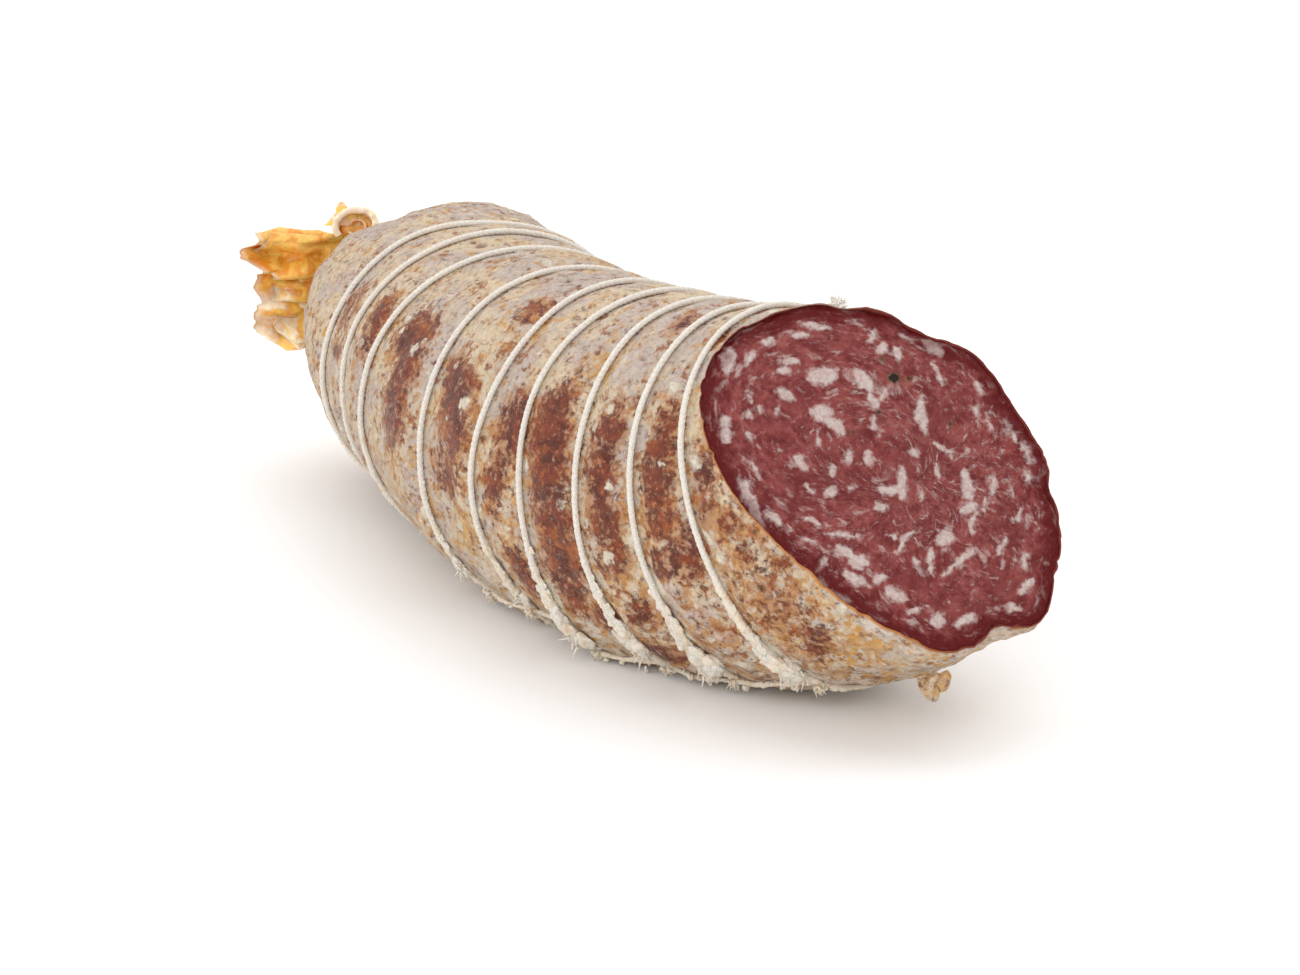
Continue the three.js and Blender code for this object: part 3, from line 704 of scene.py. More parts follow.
def meat_group():
    """The cut meat: rose-red lean, pale fat in pieces and streaks, a dark dry rim, specks of pepper."""
    masks = ["Fat", "Rim", "Pepper"]
    tree, source, end = group("cut_meat", ["Position", "Flow"], masks, ["Colour", "Roughness", "Height"])
    hue = tone(0.53)
    at, flow = source["Position"], source["Flow"]
    fine = speckle(tree, at, 0.9, 5.0, 0.68)
    middle = speckle(tree, at, 3.4, 4.0, 0.62, 0.4)
    broad = speckle(tree, at, 13.0, 2.0)
    grain = speckle(tree, flow, 2.8, 5.0, 0.66, 0.5)
    lean = blend(tree, step_up(tree, middle, 0.38, 0.62), hue(136, 52, 52), hue(172, 84, 80))
    lean = lay(tree, lean, grain, 0.50, 0.66, 0.45, hue(196, 116, 110))
    cloud = speckle(tree, at, 2.2, 4.0, 0.6, 0.5)
    lean = lay(tree, lean, cloud, 0.52, 0.68, 0.5, hue(200, 126, 118))
    lean = lay(tree, lean, grain, 0.46, 0.34, 0.5, hue(112, 34, 38))
    lean = lay(tree, lean, fine, 0.44, 0.34, 0.25, hue(100, 32, 36))
    lean = lay(tree, lean, broad, 0.48, 0.66, 0.4, hue(134, 54, 54))
    edge = total(tree, source["Rim"], centred(tree, middle, 8.0), centred(tree, grain, 3.0))
    lean = lay(tree, lean, edge, 8.0, 1.5, 0.6, hue(124, 34, 38))
    dry = step_up(tree, edge, 4.8, 1.4)
    lean = blend(tree, part_of(tree, dry, 0.85), lean, hue(112, 12, 18))
    # Fat in pieces with an uneven, partly soft border, and in streaks that follow the rim.
    tatter = speckle(tree, at, 1.4, 4.0, 0.68)
    wobble = total(tree, centred(tree, tatter, 2.4), centred(tree, grain, 1.2), centred(tree, cloud, 1.6))
    piece = step_up(tree, total(tree, source["Fat"], wobble), -0.62, 0.62)
    streaks = speckle(tree, flow, 4.6, 4.0, 0.62, 0.4)
    streak = part_of(tree, step_up(tree, streaks, 0.54, 0.70), 0.62)
    flecks = part_of(tree, step_up(tree, speckle(tree, flow, 2.0, 3.0, 0.6), 0.58, 0.74), 0.36)
    fat = calc(tree, "MAXIMUM", piece, calc(tree, "MAXIMUM", streak, flecks))
    white = blend(tree, step_up(tree, fine, 0.38, 0.62), hue(238, 204, 198), hue(255, 242, 234))
    fresh = calc(tree, "SUBTRACT", 1.0, part_of(tree, dry, 0.6))
    shown = times(tree, part_of(tree, fat, 0.90), fresh)
    colour = blend(tree, shown, lean, white)
    pepper = step_up(tree, total(tree, source["Pepper"], part_of(tree, wobble, 0.7)), -0.1, 0.3)
    around = step_up(tree, source["Pepper"], -0.9, 0.0)
    colour = blend(tree, part_of(tree, around, 0.5), colour, hue(120, 92, 62))
    colour = blend(tree, pepper, colour, hue(50, 42, 28))
    roughness = map_range(tree, fine, 0.3, 0.7, 0.36, 0.56)
    height = total(tree, part_of(tree, fine, 0.18), part_of(tree, middle, 0.30))
    height = total(tree, height, part_of(tree, grain, 0.15), part_of(tree, fat, 0.08))
    return finish_group(tree, end, {"Colour": colour, "Roughness": roughness, "Height": height})


def twine_group():
    """Off-white twine, caked with cream mould low down."""
    tree, source, end = group("twine_fibre", ["Position"], ["Cake"], ["Colour", "Height"])
    hue = tone(0.95)
    at = source["Position"]
    fibre = speckle(tree, at, 0.4, 3.0, 0.6)
    soil = speckle(tree, at, 2.6, 4.0, 0.65)
    colour = blend(tree, step_up(tree, fibre, 0.35, 0.65), hue(208, 201, 191), hue(231, 226, 217))
    cake = total(tree, source["Cake"], centred(tree, soil, 1.6))
    colour = lay(tree, colour, cake, 0.2, 0.9, 0.8, hue(228, 212, 188))
    soaked = calc(tree, "ADD", part_of(tree, source["Cake"], 0.45), 0.08)
    stain = times(tree, step_up(tree, soil, 0.54, 0.66), soaked)
    colour = blend(tree, stain, colour, hue(190, 150, 100))
    height = total(tree, part_of(tree, fibre, 0.20), part_of(tree, soil, 0.12))
    return finish_group(tree, end, {"Colour": colour, "Height": height})


def dry_group():
    """Dry gathered casing: amber where it is clear, cream where mould clouds it."""
    masks = ["Amber", "Rim"]
    tree, source, end = group("dry_casing", ["Position"], masks, ["Colour", "Roughness", "Height"])
    hue = tone(0.95)
    at = source["Position"]
    cloud = speckle(tree, at, 4.5, 5.0, 0.60, 0.8)
    fine = speckle(tree, at, 1.2, 4.0, 0.6)
    amber = total(tree, source["Amber"], centred(tree, cloud, 2.0))
    gold = blend(tree, step_up(tree, cloud, 0.38, 0.62), hue(220, 140, 36), hue(250, 204, 100))
    pale = blend(tree, step_up(tree, fine, 0.35, 0.65), hue(246, 220, 180), hue(253, 240, 220))
    colour = blend(tree, step_up(tree, amber, 0.30, 0.75), pale, gold)
    dark = total(tree, amber, part_of(tree, fine, 0.5))
    colour = lay(tree, colour, dark, 1.25, 1.6, 0.45, hue(158, 92, 34))
    colour = lay(tree, colour, source["Rim"], 0.5, 1.0, 0.6, hue(226, 212, 190))
    roughness = map_range(tree, amber, 0.0, 1.0, 0.72, 0.38)
    height = total(tree, part_of(tree, fine, 0.18), part_of(tree, cloud, 0.25))
    return finish_group(tree, end, {"Colour": colour, "Roughness": roughness, "Height": height})


def material(name, tree_of_group, bump, constants):
    """A surface with a group's looks, which reads each mask from the attribute of the same name."""
    made = bpy.data.materials.new(name)
    made.use_nodes = True
    tree = made.node_tree
    shader = tree.nodes["Principled BSDF"]
    looks = tree.nodes.new("ShaderNodeGroup")
    looks.node_tree = tree_of_group
    tree.links.new(millimetres(tree), looks.inputs["Position"])
    for socket in list(looks.inputs)[1:]:
        attribute = node(tree, "ShaderNodeAttribute", attribute_name=socket.name.lower())
        tree.links.new(attribute.outputs["Vector" if socket.type == "VECTOR" else "Fac"], socket)
    tree.links.new(looks.outputs["Colour"], shader.inputs["Base Color"])
    if "Roughness" in looks.outputs:
        tree.links.new(looks.outputs["Roughness"], shader.inputs["Roughness"])
    relief = {"Strength": 1.0, "Distance": bump * MM, "Height": looks.outputs["Height"]}
    tree.links.new(node(tree, "ShaderNodeBump", relief).outputs["Normal"], shader.inputs["Normal"])
    for key, value in constants.items():
        shader.inputs[key].default_value = value
    return made


casing_look = material("casing_look", mould_group(), 1.5, {
    "Specular IOR Level": 0.22, "Subsurface Weight": 0.08, "Subsurface Scale": 0.0015,
})
meat_look = material("meat_look", meat_group(), 0.8, {
    "Specular IOR Level": 0.12, "Subsurface Weight": 0.06, "Subsurface Scale": 0.001,
})
twine_look = material("twine_look", twine_group(), 0.5, {
    "Roughness": 0.9, "Specular IOR Level": 0.2, "Subsurface Weight": 0.1, "Subsurface Scale": 0.0006,
})
dry_look = material("dry_casing_look", dry_group(), 0.6, {
    "Specular IOR Level": 0.5, "Subsurface Weight": 0.35, "Subsurface Scale": 0.0015,
})


# Patches of the skin: place, angle, half length along and half width round in millimetres, strength

WET_PATCHES = [
    (0.247, 36, 3.8, 5.0, 1.2), (0.263, 26, 3.0, 7.0, 1.0), (0.266, 12, 3.0, 6.0, 1.1),
    (0.326, 31, 3.0, 4.5, 1.1), (0.342, 24, 4.2, 6.0, 1.1), (0.356, 13, 4.0, 5.0, 0.9),
    (0.344, 1, 4.5, 5.0, 0.75), (0.192, 34, 2.2, 5.0, 1.0), (0.196, 26, 2.2, 4.0, 0.8),
    (0.136, 28, 2.5, 5.0, 0.7), (0.140, 12, 2.0, 2.0, 0.8), (0.422, 24, 4.0, 6.5, 1.0),
    (0.410, 6, 2.6, 6.5, 0.8), (0.472, 37, 2.6, 4.0, 0.9), (0.470, 26, 4.2, 8.0, 1.25),
    (0.478, 14, 4.0, 7.0, 1.15), (0.487, -1, 4.6, 7.0, 1.0), (0.489, -14, 4.4, 8.0, 1.05),
    (0.484, -27, 3.6, 6.0, 0.9), (0.545, 30, 3.6, 7.0, 0.9), (0.543, 17, 3.8, 8.0, 1.0),
    (0.552, 2, 4.2, 4.5, 0.95), (0.555, -9, 4.0, 6.0, 0.75), (0.358, 63, 3.2, 4.0, 0.7),
    (0.620, 33, 4.0, 6.0, 1.0), (0.619, 21, 4.2, 7.0, 1.0), (0.622, 6, 4.6, 5.5, 0.9),
    (0.556, 75, 3.0, 3.0, 0.75), (0.636, 72, 2.4, 2.4, 0.7), (0.693, 17, 4.0, 8.0, 0.8),
    (0.725, 4, 6.0, 3.6, 0.6), (0.430, -24, 3.2, 5.0, 1.0), (0.646, -8, 4.6, 5.0, 0.9),
    (0.613, -11, 3.2, 4.0, 0.8), (0.665, -4, 3.4, 3.6, 0.8), (0.571, -31, 3.6, 4.0, 0.75),
    (0.513, -38, 4.0, 3.2, 0.9), (0.563, -48, 5.0, 3.2, 0.9), (0.746, -8, 2.4, 2.0, 0.7),
    (0.790, -44, 3.4, 3.2, 0.9), (0.777, -50, 3.2, 2.6, 0.85), (0.793, -15, 3.2, 2.0, 0.7),
    (0.704, -65, 2.5, 2.0, 0.9), (0.757, -24, 14.0, 17.0, 0.40), (0.655, -34, 8.0, 12.0, 0.30),
]
OCHRE_PATCHES = [
    (0.503, 51, 4.5, 5.0, 1.0), (0.708, 5, 4.0, 5.0, 0.8), (0.358, -20, 3.5, 5.0, 0.9),
    (0.430, -38, 6.0, 5.0, 1.0), (0.593, -53, 6.0, 4.0, 1.0), (0.579, -24, 4.0, 4.0, 0.7),
    (0.735, -14, 6.0, 4.0, 0.9), (0.754, -32, 8.0, 5.0, 0.9), (0.432, -16, 2.6, 3.0, 1.1),
    (0.631, 2, 4.0, 3.0, 0.9), (0.560, 0, 3.0, 3.0, 1.0), (0.346, 16, 1.6, 1.6, 1.2),
    (0.368, 14, 1.8, 1.8, 1.2), (0.489, 2, 2.0, 4.0, 0.8), (0.640, 68, 4.0, 4.0, 0.7),
    (0.365, 60, 7.0, 6.0, 0.6), (0.30, -10, 8.0, 10.0, 0.35), (0.60, -42, 18.0, 10.0, 0.45),
    (0.78, -60, 16.0, 10.0, 0.45), (0.42, 4, 38.0, 17.0, 0.40), (0.60, 2, 22.0, 20.0, 0.42),
    (0.755, -30, 18.0, 18.0, 0.60), (0.817, -52, 10.0, 5.0, 1.0),
]
# The far side and the belly carry patches of the same kind.
FAR_PATCHES = 40


def draws(*ranges):
    """One random number from each range, in turn."""
    return [rng.uniform(low, high) for low, high in ranges]


for _ in range(FAR_PATCHES):
    gap = rng.integers(2, len(LOOPS))
    middle_place = (LOOPS[gap - 1][0] + LOOPS[gap][0]) / 2
    WET_PATCHES.append((middle_place, *draws((112, 262), (3.4, 5.6), (3.5, 8.5), (0.65, 1.0))))
    OCHRE_PATCHES.append(draws((0.1, 0.84), (105, 285), (3, 7), (3, 7), (0.5, 1.0)))


def patch_field(place, angle, patches):
    clear = np.ones(place.shape)
    for at, turn, along, around, strength in patches:
        x = (place - at) * BODY_LENGTH / along
        y = wrapped(angle - turn * DEG) * BODY_RADIUS / around
        clear = np.minimum(clear, 1 - strength * np.exp(-0.5 * (x * x + y * y)))
    return 1 - clear


# Casing: the skin itself, a thin shell whose golden edge shows round the cut

CASING_ROWS, CASING_COLUMNS, LINING_ROWS = 364, 242, 30
CASING_THICKNESS = 0.32
RIM_RADIUS = 41


def rows_inside(count):
    """Places for a layer inside the skin, crowded towards the cut."""
    return CUT_PLACE * (1 - np.linspace(0, 0.985, count) ** 2)


def on_cut(points, reach=0.0):
    miss = dot(points - frame_at(CUT_PLACE)[0], CUT_NORMAL)
    return points - (miss - reach)[..., None] * CUT_NORMAL


def build_casing():
    angles = np.arange(CASING_COLUMNS) / CASING_COLUMNS * TURN
    loops, cut = knots_at(angles)
    place = places_on_grid(meridian_rows(CASING_ROWS + 1)[1:], loops, cut)
    angle = np.broadcast_to(angles, place.shape)
    outer, masks = skin(place, angle, loop_distances(place, loops), cut[None])
    lining_place = places_on_grid(rows_inside(LINING_ROWS), loops, cut)
    back = (cut[None] - lining_place) * BODY_LENGTH
    inset = CASING_THICKNESS + 2.0 * smooth(back, 0.0, 5.0)
    lining_angle = np.broadcast_to(angles, lining_place.shape)
    inner, _ = skin(lining_place, lining_angle, loop_distances(lining_place, loops), cut[None], inset)
    round_rim = np.stack([np.cos(angles), np.sin(angles), 0 * angles], -1) * RIM_RADIUS
    ragged = 0.35 * noise(round_rim, 2.2, 8) + 0.1
    # At the top the bloomed casing stands over the rim.
    hood = smooth(np.cos(angles - 86 * DEG), 0.86, 0.96)
    along_rim = np.stack([angles * RIM_RADIUS, 0 * angles, 0 * angles], -1)
    ragged = ragged + hood * (0.8 + 1.1 * noise(along_rim, 2.6, 18))
    outer[-1] = on_cut(outer[-1], ragged)
    inner[0] = on_cut(inner[0], ragged - 0.1)
    rings = np.concatenate([outer, inner])
    tip = frame_at(0.0)[0]
    points, faces = closed_rings(rings, tip, tip + (outer[0].mean(0) - tip) * 1.6)
    rows = len(rings)

    def whole(values, lining=0.0):
        return np.concatenate([values.ravel(), np.full((rows - CASING_ROWS) * CASING_COLUMNS + 2, lining)])

    low = smooth(-np.sin(angle), 0.1, 0.9)
    edge = np.zeros(place.shape)
    edge[-1] = 1.0 - hood
    gold = smooth(np.cos(angles + 18 * DEG), 0.35, 0.85)
    piece = Piece("casing")
    masks["wet"] = patch_field(place, angle, WET_PATCHES)
    masks["ochre"] = patch_field(place, angle, OCHRE_PATCHES)
    masks["low"] = low
    values = {name: whole(value) for name, value in masks.items()}
    piece.add(points, faces, edge=whole(edge, 1.0), gold=np.append(np.tile(gold, rows), [0, 0]), **values)
    piece.build(casing_look, "casing", "sausage_body")


# Meat: the fat on the cut face, read off two enlarged views of the photo. Each row has a piece's
# middle across and down the view, its half length and half width in the view's pixels, and its turn.

FAT_READINGS = [
    (350, 365, 62, 38, -5), (520, 385, 60, 30, 50), (560, 470, 45, 20, 65), (605, 445, 35, 13, -60),
    (350, 520, 50, 34, 20), (410, 575, 52, 26, 45), (325, 640, 34, 9, 100), (775, 530, 75, 27, 80),
    (260, 730, 45, 22, 45), (465, 705, 22, 14, 90), (540, 710, 30, 22, 80), (390, 760, 20, 14, 60),
    (385, 855, 30, 18, 10), (470, 835, 20, 9, -30), (300, 840, 26, 11, 40), (685, 820, 72, 22, 87),
    (635, 850, 42, 24, 0), (590, 920, 32, 20, 10), (960, 830, 68, 30, 88), (965, 925, 36, 20, -20),
    (990, 985, 42, 11, 105), (870, 1050, 42, 32, 0), (770, 870, 25, 12, 90), (150, 970, 44, 20, 50),
    (50, 910, 105, 20, 60), (310, 980, 46, 9, 20), (440, 1110, 50, 24, 20), (512, 1152, 42, 32, 10),
    (490, 1225, 56, 25, 30), (662, 1290, 48, 30, 10), (600, 1220, 40, 20, -10), (735, 1355, 28, 18, -20),
    (930, 1150, 82, 13, -42), (808, 1150, 52, 9, 95), (742, 1150, 25, 14, 60), (350, 1165, 38, 14, -50),
    (330, 1230, 50, 13, 50), (430, 1300, 46, 18, 30), (955, 1400, 46, 24, -30), (840, 1400, 34, 28, 0),
    (1215, 1250, 42, 20, -50), (1210, 1150, 30, 12, 95), (1150, 1345, 28, 17, 0), (870, 672, 55, 10, 25),
    (905, 705, 20, 9, 70), (745, 690, 22, 18, 0), (828, 750, 30, 8, 85), (1010, 410, 36, 12, 60),
    (820, 240, 48, 17, 30), (838, 350, 52, 11, 65), (700, 200, 36, 11, 45), (665, 275, 34, 22, 60),
    (600, 250, 26, 22, 0), (200, 300, 46, 15, 0), (185, 345, 24, 16, 10), (190, 440, 40, 18, 20),
    (320, 150, 62, 15, 10), (258, 195, 28, 12, 5), (115, 225, 30, 17, -45), (35, 285, 36, 20, -50),
    (1218, 680, 52, 19, 65), (1140, 600, 52, 11, 65), (1215, 790, 36, 11, 70), (1050, 580, 30, 9, 60),
    (1000, 510, 24, 13, 80), (45, 455, 30, 10, 80), (40, 620, 26, 11, 70), (90, 500, 18, 12, 90),
    (60, 760, 40, 9, 60), (1190, 950, 26, 9, 90), (1150, 850, 20, 8, 90), (1110, 1090, 38, 11, -60),
    (1068, 830, 42, 9, 85), (1040, 905, 34, 8, -75), (705, 1060, 60, 8, -50), (430, 1040, 70, 8, 5),
    (300, 1068, 32, 9, 20), (560, 560, 14, 30, 0), (640, 1050, 26, 12, 10), (170, 680, 10, 14, 0),
    (30, 530, 12, 16, 0), (165, 510, 12, 16, 0), (560, 190, 16, 34, 20),
]
RIM_FAT_READINGS = [
    (905, 700, 55, 34, 95), (895, 1000, 60, 30, 80), (1000, 1290, 95, 22, 62), (1105, 1380, 50, 22, 50),
]
# The photo's pixel at the corner of each enlarged view, and how many times it is enlarged
FAT_VIEWS = [((740, 290), 4.239, FAT_READINGS), ((520, 200), 4.356, RIM_FAT_READINGS)]
# Pepper that the photo shows, by its pixel there and its radius in millimetres, and a few more fine specks
SEEN_PEPPER = [((894, 378), 1.2), ((882, 360), 0.45), ((909, 379), 0.4)]
MORE_PEPPER = [(10.0, 13.5, 0.4), (-5.5, 17.0, 0.35), (-12.0, 12.5, 0.35)]
FACE_RIGHT = unit(np.cross(UP, CUT_NORMAL))
FACE_UP = np.cross(CUT_NORMAL, FACE_RIGHT)
MEAT_COLUMNS, MEAT_ROWS, FACE_RINGS = 420, 26, 120


def seen_on_face(pixel):
    """Where a pixel of the photo lies on the cut face, right and up from its middle."""
    across = (pixel[0] - PHOTO_WIDTH / 2) / FOCAL_PIXELS
    rise = (PHOTO_HEIGHT / 2 - pixel[1]) / FOCAL_PIXELS
    ray = NEAR_RIGHT * across + NEAR_UP * rise - NEAR_SIDE
    away = CAMERA_PLACE - frame_at(CUT_PLACE)[0]
    point = away - ray * dot(away, CUT_NORMAL) / dot(ray, CUT_NORMAL)
    return np.array([dot(point, FACE_RIGHT), dot(point, FACE_UP)])


def fat_piece(middle, half_length, half_width, turn):
    """An ellipse of the photo as one on the face, to a tenth of a millimetre and to a degree."""
    along = np.array([math.cos(turn * DEG), math.sin(turn * DEG)])
    across = np.array([-along[1], along[0]])
    centre = seen_on_face(middle)
    half_axes = [seen_on_face(middle + along * half_length), seen_on_face(middle + across * half_width)]
    ways, sizes, _ = np.linalg.svd(np.transpose(half_axes - centre))
    new_turn = math.degrees(math.atan2(ways[1, 0], ways[0, 0])) % 180
    return (*np.round(centre, 1), *np.round(sizes, 1), round(new_turn))


def fat_pieces():
    for corner, scale, readings in FAT_VIEWS:
        for across, down, half_length, half_width, turn in readings:
            middle = np.array(corner) + np.array([across, down]) / scale
            yield fat_piece(middle, half_length / scale, half_width / scale, turn)


def fat_field(u, v):
    """How deep inside a piece of fat each point of the face lies, in millimetres, below zero outside."""
    flat = np.stack([u, v, 0 * u], -1)
    u = u + 0.55 * fractal(flat, 2.6, 41, 2)
    v = v + 0.55 * fractal(flat, 2.6, 43, 2)
    best = np.full(u.shape, -1.5)
    for x, y, a, b, turn in fat_pieces():
        c, s = math.cos(turn * DEG), math.sin(turn * DEG)
        du, dv = u - x, v - y
        p, q = (du * c + dv * s), (dv * c - du * s)
        k = np.sqrt((p / a) ** 2 + (q / b) ** 2) + 1e-6
        slope = np.sqrt((p / a ** 2) ** 2 + (q / b ** 2) ** 2) / k + 1e-6
        best = np.maximum(best, np.clip((1 - k) / slope, -1.5, 1.5))
    return best


def build_meat():
    angles = np.arange(MEAT_COLUMNS) / MEAT_COLUMNS * TURN
    loops, cut = knots_at(angles)
    place = places_on_grid(rows_inside(MEAT_ROWS)[::-1], loops, cut)
    angle = np.broadcast_to(angles, place.shape)
    back = (cut[None] - place) * BODY_LENGTH
    inset = CASING_THICKNESS + 0.12 + 2.6 * smooth(back, 0.0, 5.0)
    sides, _ = skin(place, angle, loop_distances(place, loops), cut[None], inset)
    rim = on_cut(sides[-1])
    sides = sides[:-1]
    centre = frame_at(CUT_PLACE)[0]
    shares = 1 - np.arange(FACE_RINGS) / FACE_RINGS
    face = centre + (rim - centre)[None] * shares[:, None, None]
    radius = np.linalg.norm(rim - centre, axis=-1)
    depth = radius[None] * (1 - shares[:, None])
    u, v = dot(face - centre, FACE_RIGHT), dot(face - centre, FACE_UP)
    fat = fat_field(u, v)
    flat = np.stack([u, v, 0 * u], -1)
    height = 0.22 * fractal(flat, 3.0, 61) + 0.10 * smooth(fat, -0.2, 0.3)
    height = height - 0.30 * np.exp(-(depth / 0.8) ** 2)
    height = height + 0.25 * fractal(flat, 14, 66, 2) * smooth(depth, 0, 4) - 0.1
    face = face + height[..., None] * CUT_NORMAL
    pepper = np.full(u.shape, -2.0)
    specks = [(*np.round(seen_on_face(pixel), 1), size) for pixel, size in SEEN_PEPPER]
    for x, y, size in specks + MORE_PEPPER:
        pepper = np.maximum(pepper, size - np.hypot(u - x, v - y))
    tip = frame_at(0.0)[0]
    inner_tip = tip + (sides[0].mean(0) - tip) * 0.9
    points, faces = closed_rings(np.concatenate([sides, face]), inner_tip, centre)
    # Streaks run round the face: the flow is drawn out along the rim and squeezed across it.
    turn = np.arctan2(v, u)
    flow = np.stack([38 * np.cos(turn), 38 * np.sin(turn), 2.0 * depth], -1)
    centre_mix = smooth(depth, 16, 34)[..., None]
    flow = flow * (1 - centre_mix) + np.stack([u * 1.3, v * 1.3, 0 * u], -1) * centre_mix

    def whole(values, start, end):
        return np.concatenate([np.full(sides[..., 0].size, start), values.ravel(), [start], [end]])

    flow = np.concatenate([np.zeros((sides[..., 0].size, 3)), flow.reshape(-1, 3), np.zeros((2, 3))])
    depth, pepper = whole(depth, 0.0, 30.0), whole(pepper, -2.0, -2.0)
    piece = Piece("meat")
    piece.add(points, faces, fat=whole(fat, -1.5, -1.5), rim=depth, pepper=pepper, flow=flow)
    piece.build(meat_look, "meat", "sausage_body")


# Twine: nine loops, the lengthwise string with its frayed knots, the tie and the frayed end

LOOP_STEPS = 600
TWINE_SIDES = 12


def twine_body(piece, path, out, cake, closed, seed, radius=TWINE_RADIUS):
    path = path + 0.10 * np.stack([noise(path, 9, seed + k) for k in range(3)], -1)
    swollen = 0.75 * cake * np.clip(fractal(path, 3.4, seed + 4, 2) + 0.25, 0, 1)
    thick = radius * (1.08 + 0.05 * noise(path, 2.5, seed + 3) + swollen)
    section = twisted(path, thick, TWINE_SIDES)
    rings = sweep(path, out, section, TWINE_SIDES, closed)
    fuzz = 0.06 + 0.30 * cake
    rings = rings + (rings - path[:, None]) * (fuzz[:, None] * fractal(rings, 0.9, seed + 5, 2))[..., None]
    rings[..., 2] = np.maximum(rings[..., 2], TABLE_CLEARANCE)
    if closed:
        points, faces = rings, [ring_quads(len(path), TWINE_SIDES, joined=True)]
    else:
        points, faces = closed_rings(rings, path[0], path[-1])
    value = np.repeat(cake, TWINE_SIDES)
    if not closed:
        value = np.concatenate([value, cake[:1], cake[-1:]])
    piece.add(points, faces, cake=value)


# Where mould clumps on each loop low down: the angle and the clump's half width.
LOOP_CLUMPS = {
    2: (-50, 1.2), 3: (-41, 1.9), 4: (-44, 1.8), 5: (-48, 3.2), 6: (-50, 3.0), 7: (-56, 3.3), 8: (-58, 3.4),
}


def clump_on_loop(piece, i, path, out, angle):
    """Mould that thickens along a loop and ends in a ragged clump with a few stuck fibres."""
    turn, size = LOOP_CLUMPS[i]
    end = int(np.argmin(np.abs(wrapped(angle - turn * DEG))))
    for k in range(26):
        back = (1 - k / 25) * 34 / 360 * LOOP_STEPS
        j = int(end + back) % LOOP_STEPS
        grow = size * (0.30 + 0.70 * (k / 25) ** 1.6)
        along = unit(path[(j + 1) % LOOP_STEPS] - path[j - 1])
        beside = np.cross(out[j], along)
        spot = path[j] + beside * rng.normal() * 0.60 * grow + out[j] * (0.16 * grow - 0.3) - UP * 0.25 * grow
        half_widths = draws((0.7, 1.1), (0.55, 0.95), (0.32, 0.52))
        axes = np.array([along, beside, out[j]]) * grow * np.reshape(half_widths, (3, 1))
        spot[2] = max(spot[2], 0.4 + np.abs(axes[:, 2]).max())
        lump(piece, spot, axes, 5000 + 40 * i + k, 0.55, 16, cake=rng.uniform(0.2, 0.7))
    for k in range(16):
        start = path[end] + out[end] * 0.2 * size + rng.normal(size=3) * 0.35 * size
        lean = unit(-UP * 0.9 + out[end] * 0.7 + rng.normal(size=3) * 0.45)
        reach = rng.uniform(0.45, 0.95) * size
        reach = min(reach, max(start[2] - 0.5, 0.3) / max(-lean[2], 0.2))
        hair(piece, start, lean, reach, rng.uniform(0.22, 0.45), 5600 + 40 * i + k, cake=0.4)


def build_loop(i):
    angle = np.arange(LOOP_STEPS) / LOOP_STEPS * TURN
    place = loop_place(i, angle)
    path = plain_skin(place, angle, swelling(place, angle) - PINCH_DEPTH + CLEARANCE + TWINE_RADIUS)
    path[:, 2] = np.maximum(path[:, 2], LOOP_CENTRE_HEIGHT)
    piece = Piece(f"loop_{i + 1}")
    out = outward(place, angle)
    cake = caked(angle) * np.clip(0.75 + 0.6 * noise(path, 14, 77 + i), 0, 1)
    twine_body(piece, path, out, cake, True, 200 + 10 * i)
    # Loose fibres stand off the twine here and there.
    for k in range(26):
        j = rng.integers(LOOP_STEPS)
        if path[j, 2] < 4:
            continue
        direction = unit(out[j] + rng.normal(size=3) * 0.9)
        hair(piece, path[j], direction, rng.uniform(0.9, 1.9), 0.055, 1000 * i + k, cake=0.2)
    if i in LOOP_CLUMPS:
        clump_on_loop(piece, i, path, out, angle)
    piece.build(twine_look, "twine", f"twine_loop_{i + 1}")


TUFT_SIZES = [0.5, 0.5, 0.6] + [0.8] * 6


def string_surface(place, angle, height):
    return plain_skin(place, angle, swelling(place, angle) + height)


def tuft(piece, centre, out, ahead, size, seed, fibres):
    """A knot of mould-caked fibres with a brush of frayed ends."""
    local = np.random.default_rng(seed)
    across = np.cross(out, ahead)
    core = np.array([ahead * size[0], across * size[1], out * size[2]]) * 0.8
    lump(piece, centre, core, seed, 0.6, 16, cake=0.9)
    for k in range(9):
        shift = ahead * local.normal() * size[0] * 0.6 + across * local.normal() * size[1] * 0.75 - out * 0.3
        axes = np.array([ahead, across, out]) * local.uniform(0.35, 0.9, 3)[:, None] * size[1] * 0.6
        lump(piece, centre + shift, axes, seed + 50 + k, 0.6, 9, cake=local.uniform(0.3, 1.0))
    lean = unit(ahead * local.uniform(-0.3, 0.9) - UP * 0.6 + out * 0.5)
    for k in range(fibres):
        start = centre + ahead * local.uniform(-1, 1) * size[0] * 0.8
        start = start + across * local.uniform(-1, 1) * size[1] * 0.8
        direction = unit(lean + local.normal(size=3) * 0.55)
        reach = local.uniform(0.7, 1.5) * size[1]
        if (start + direction * reach)[2] < 0.3:
            direction = unit(direction * [1, 1, 0] + np.array([0, 0, 0.15]))
        thick = local.uniform(0.10, 0.24)
        hair(piece, start, direction, reach, thick, seed * 100 + k, cake=local.uniform(0.2, 1))


